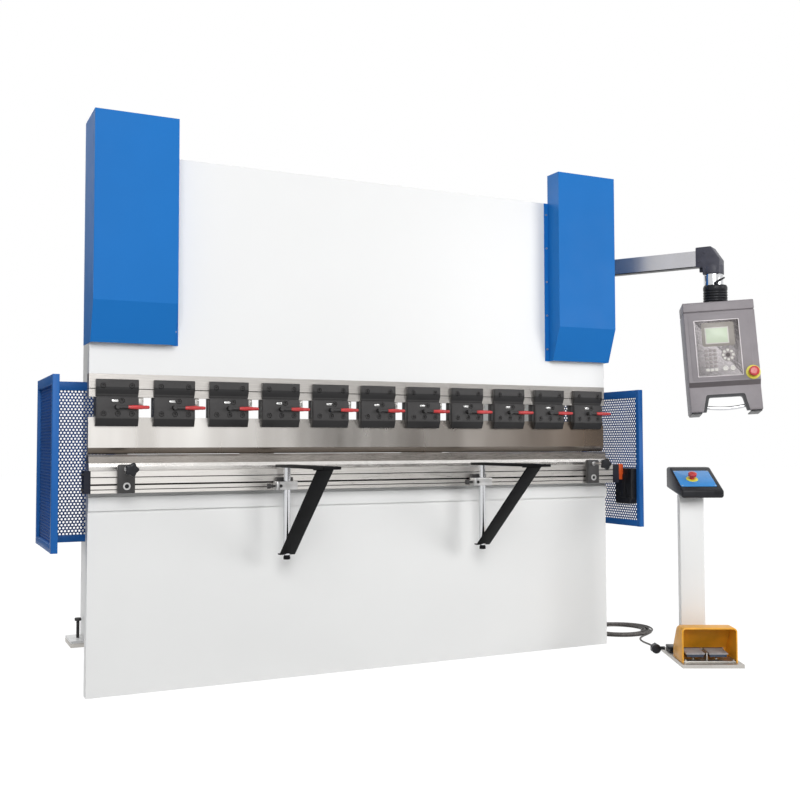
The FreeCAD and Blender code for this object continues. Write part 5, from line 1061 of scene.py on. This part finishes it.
def arch(inset, corner, width=246, height=153):
    """The outline of the hood's front, drawn in by an inset."""
    right, top = width - inset, height - inset
    return rounded([(inset, -4), (right, -4), (right, top), (inset, top)],
                   (3, 3, corner - inset, corner - inset), 6)


def hood_body(inset):
    """The arch carried back, upright to its knee and then sloping to its top."""
    tunnel = placed(plate(arch(inset, 18), 158, 2.0 if inset == 0 else 0.3),
                    (0, 158 - inset, 0), **FRONT)
    roof = placed(plate([(165.3 - inset, 34.2 - inset / 3), (200, 34.2), (200, 164),
                         (77.7 - inset, 163.8 - inset)], 300, 0.1), (-30, 0, 0), **RIGHT)
    return bored(tunnel, roof)


hood_paint = coated("hood_paint", "hood_paint", (0.86, 0.4, 0.025), 0.36, (0.85, 1.1, 14, 4),
                    (420, 0.0002))
hood_rim = bored(placed(plate(arch(0.5, 20), 14, 3, 3), (0, 14, 0), **FRONT),
                 placed(plate(arch(13, 20), 40, 0.3), (0, 30, 0), **FRONT))
ground_line = placed(plate([(-10, -20), (260, -20), (260, 160), (-10, 160)], 20, 0.1),
                     (0, 0, -20))
make("pedal_hood_cast", "machine", hood_paint,
     stood(placed(joined(bored(hood_body(0), hood_body(6), ground_line),
                         bored(hood_rim, ground_line)), (8, 40, 16.2))), 35,
     stands_for=["pedal_hood"])

# Pedals: two ribbed steel treads on one pin, each with a dark skirt, over the switch plate.
tread_lean = math.atan2(6, 96)
tread_axes = {"x": (1, 0, 0), "y": (0, math.cos(tread_lean), math.sin(tread_lean))}
tread_grey = coated("tread_grey", "grey_paint", (0.33, 0.32, 0.325), 0.45, (0.8, 1.15, 40, 4),
                    (500, 0.0002), Metallic=0.3)
skirt_navy = coated("skirt_navy", "grey_paint", (0.03, 0.045, 0.08), 0.4, (0.8, 1.2, 40))
for name, left in (("left", 25), ("right", 127)):
    tread = placed(joined(
        plate(oblong(87, 96, 5, (44, 48.5)), 6, 1.2),
        *[placed(plate(oblong(78, 4, 1.5, (44, 12 + 9 * row)), 1.3, 0.5), (0, 0, 5.7))
          for row in range(9)]), (left, 48, 50), **tread_axes)
    make("pedal_tread_" + name, name + "_pedal", tread_grey, stood(tread), 30,
         stands_for=["pedal_" + name])
    make("pedal_skirt_" + name, name + "_pedal", skirt_navy, stood(
        placed(plate(oblong(76, 82, 3, (44, 46)), 13, 1), (left, 48, 38), **tread_axes),
        placed(turned([(8, 0.5), (8, 87.5)], 24), (left, 144, 56), (0, 1, 0), (0, 0, 1))), 30)
make("pedal_base", "machine", bare_steel, stood(
    placed(plate(oblong(232, 108, 3, (131, 96)), 7, 1), (0, 0, 16)),
    placed(plate(oblong(5, 60, 1, (120, 80)), 38, 0.5), (0, 0, 20)),
    *[placed(socket_screw(6, 6), (x, 52, 22)) for x in (24, 238)],
    *[placed(turned([(6, 22), (6, 29), (4, 30)], 20), (x, 88, 0)) for x in (69, 171)]), 30)

# Cable glands: domed nuts over rubber seals, one on the stand and one on the right frame.
# A tapered sleeve on each keeps the cable from kinking.


def gland(length, neck):
    """A body, a hexagon nut, a dome and a sleeve that tapers down to the cable."""
    return turned([(neck, -2), (21.9, 0), (21.9, length * 0.3), (18, length * 0.34),
                   (21, length * 0.38), (21, length * 0.75), (19.5, length * 0.86),
                   (14, length * 0.97), (9, length), (8, length + 9), (6.4, length + 22),
                   (5.4, length + 32), (4.6, length + 33)], 40, hexagon=(4, 5))


make("glands", "machine", black_plastic, joined(
    stood(placed(gland(44, 16), (-42, 311, 24), (-1, 0, 0), (0, 0, 1)),
          placed(turned([(8, 0), (8, 44)], 32), (-42, 333, 24), **RIGHT),
          placed(plate(oblong(40, 80, 4, (28, 300)), 26, 2), (0, 0, 16))),
    placed(gland(44, 18), (1085.3, 420, 110), **RIGHT)), 30, stands_for=["cable_glands"])
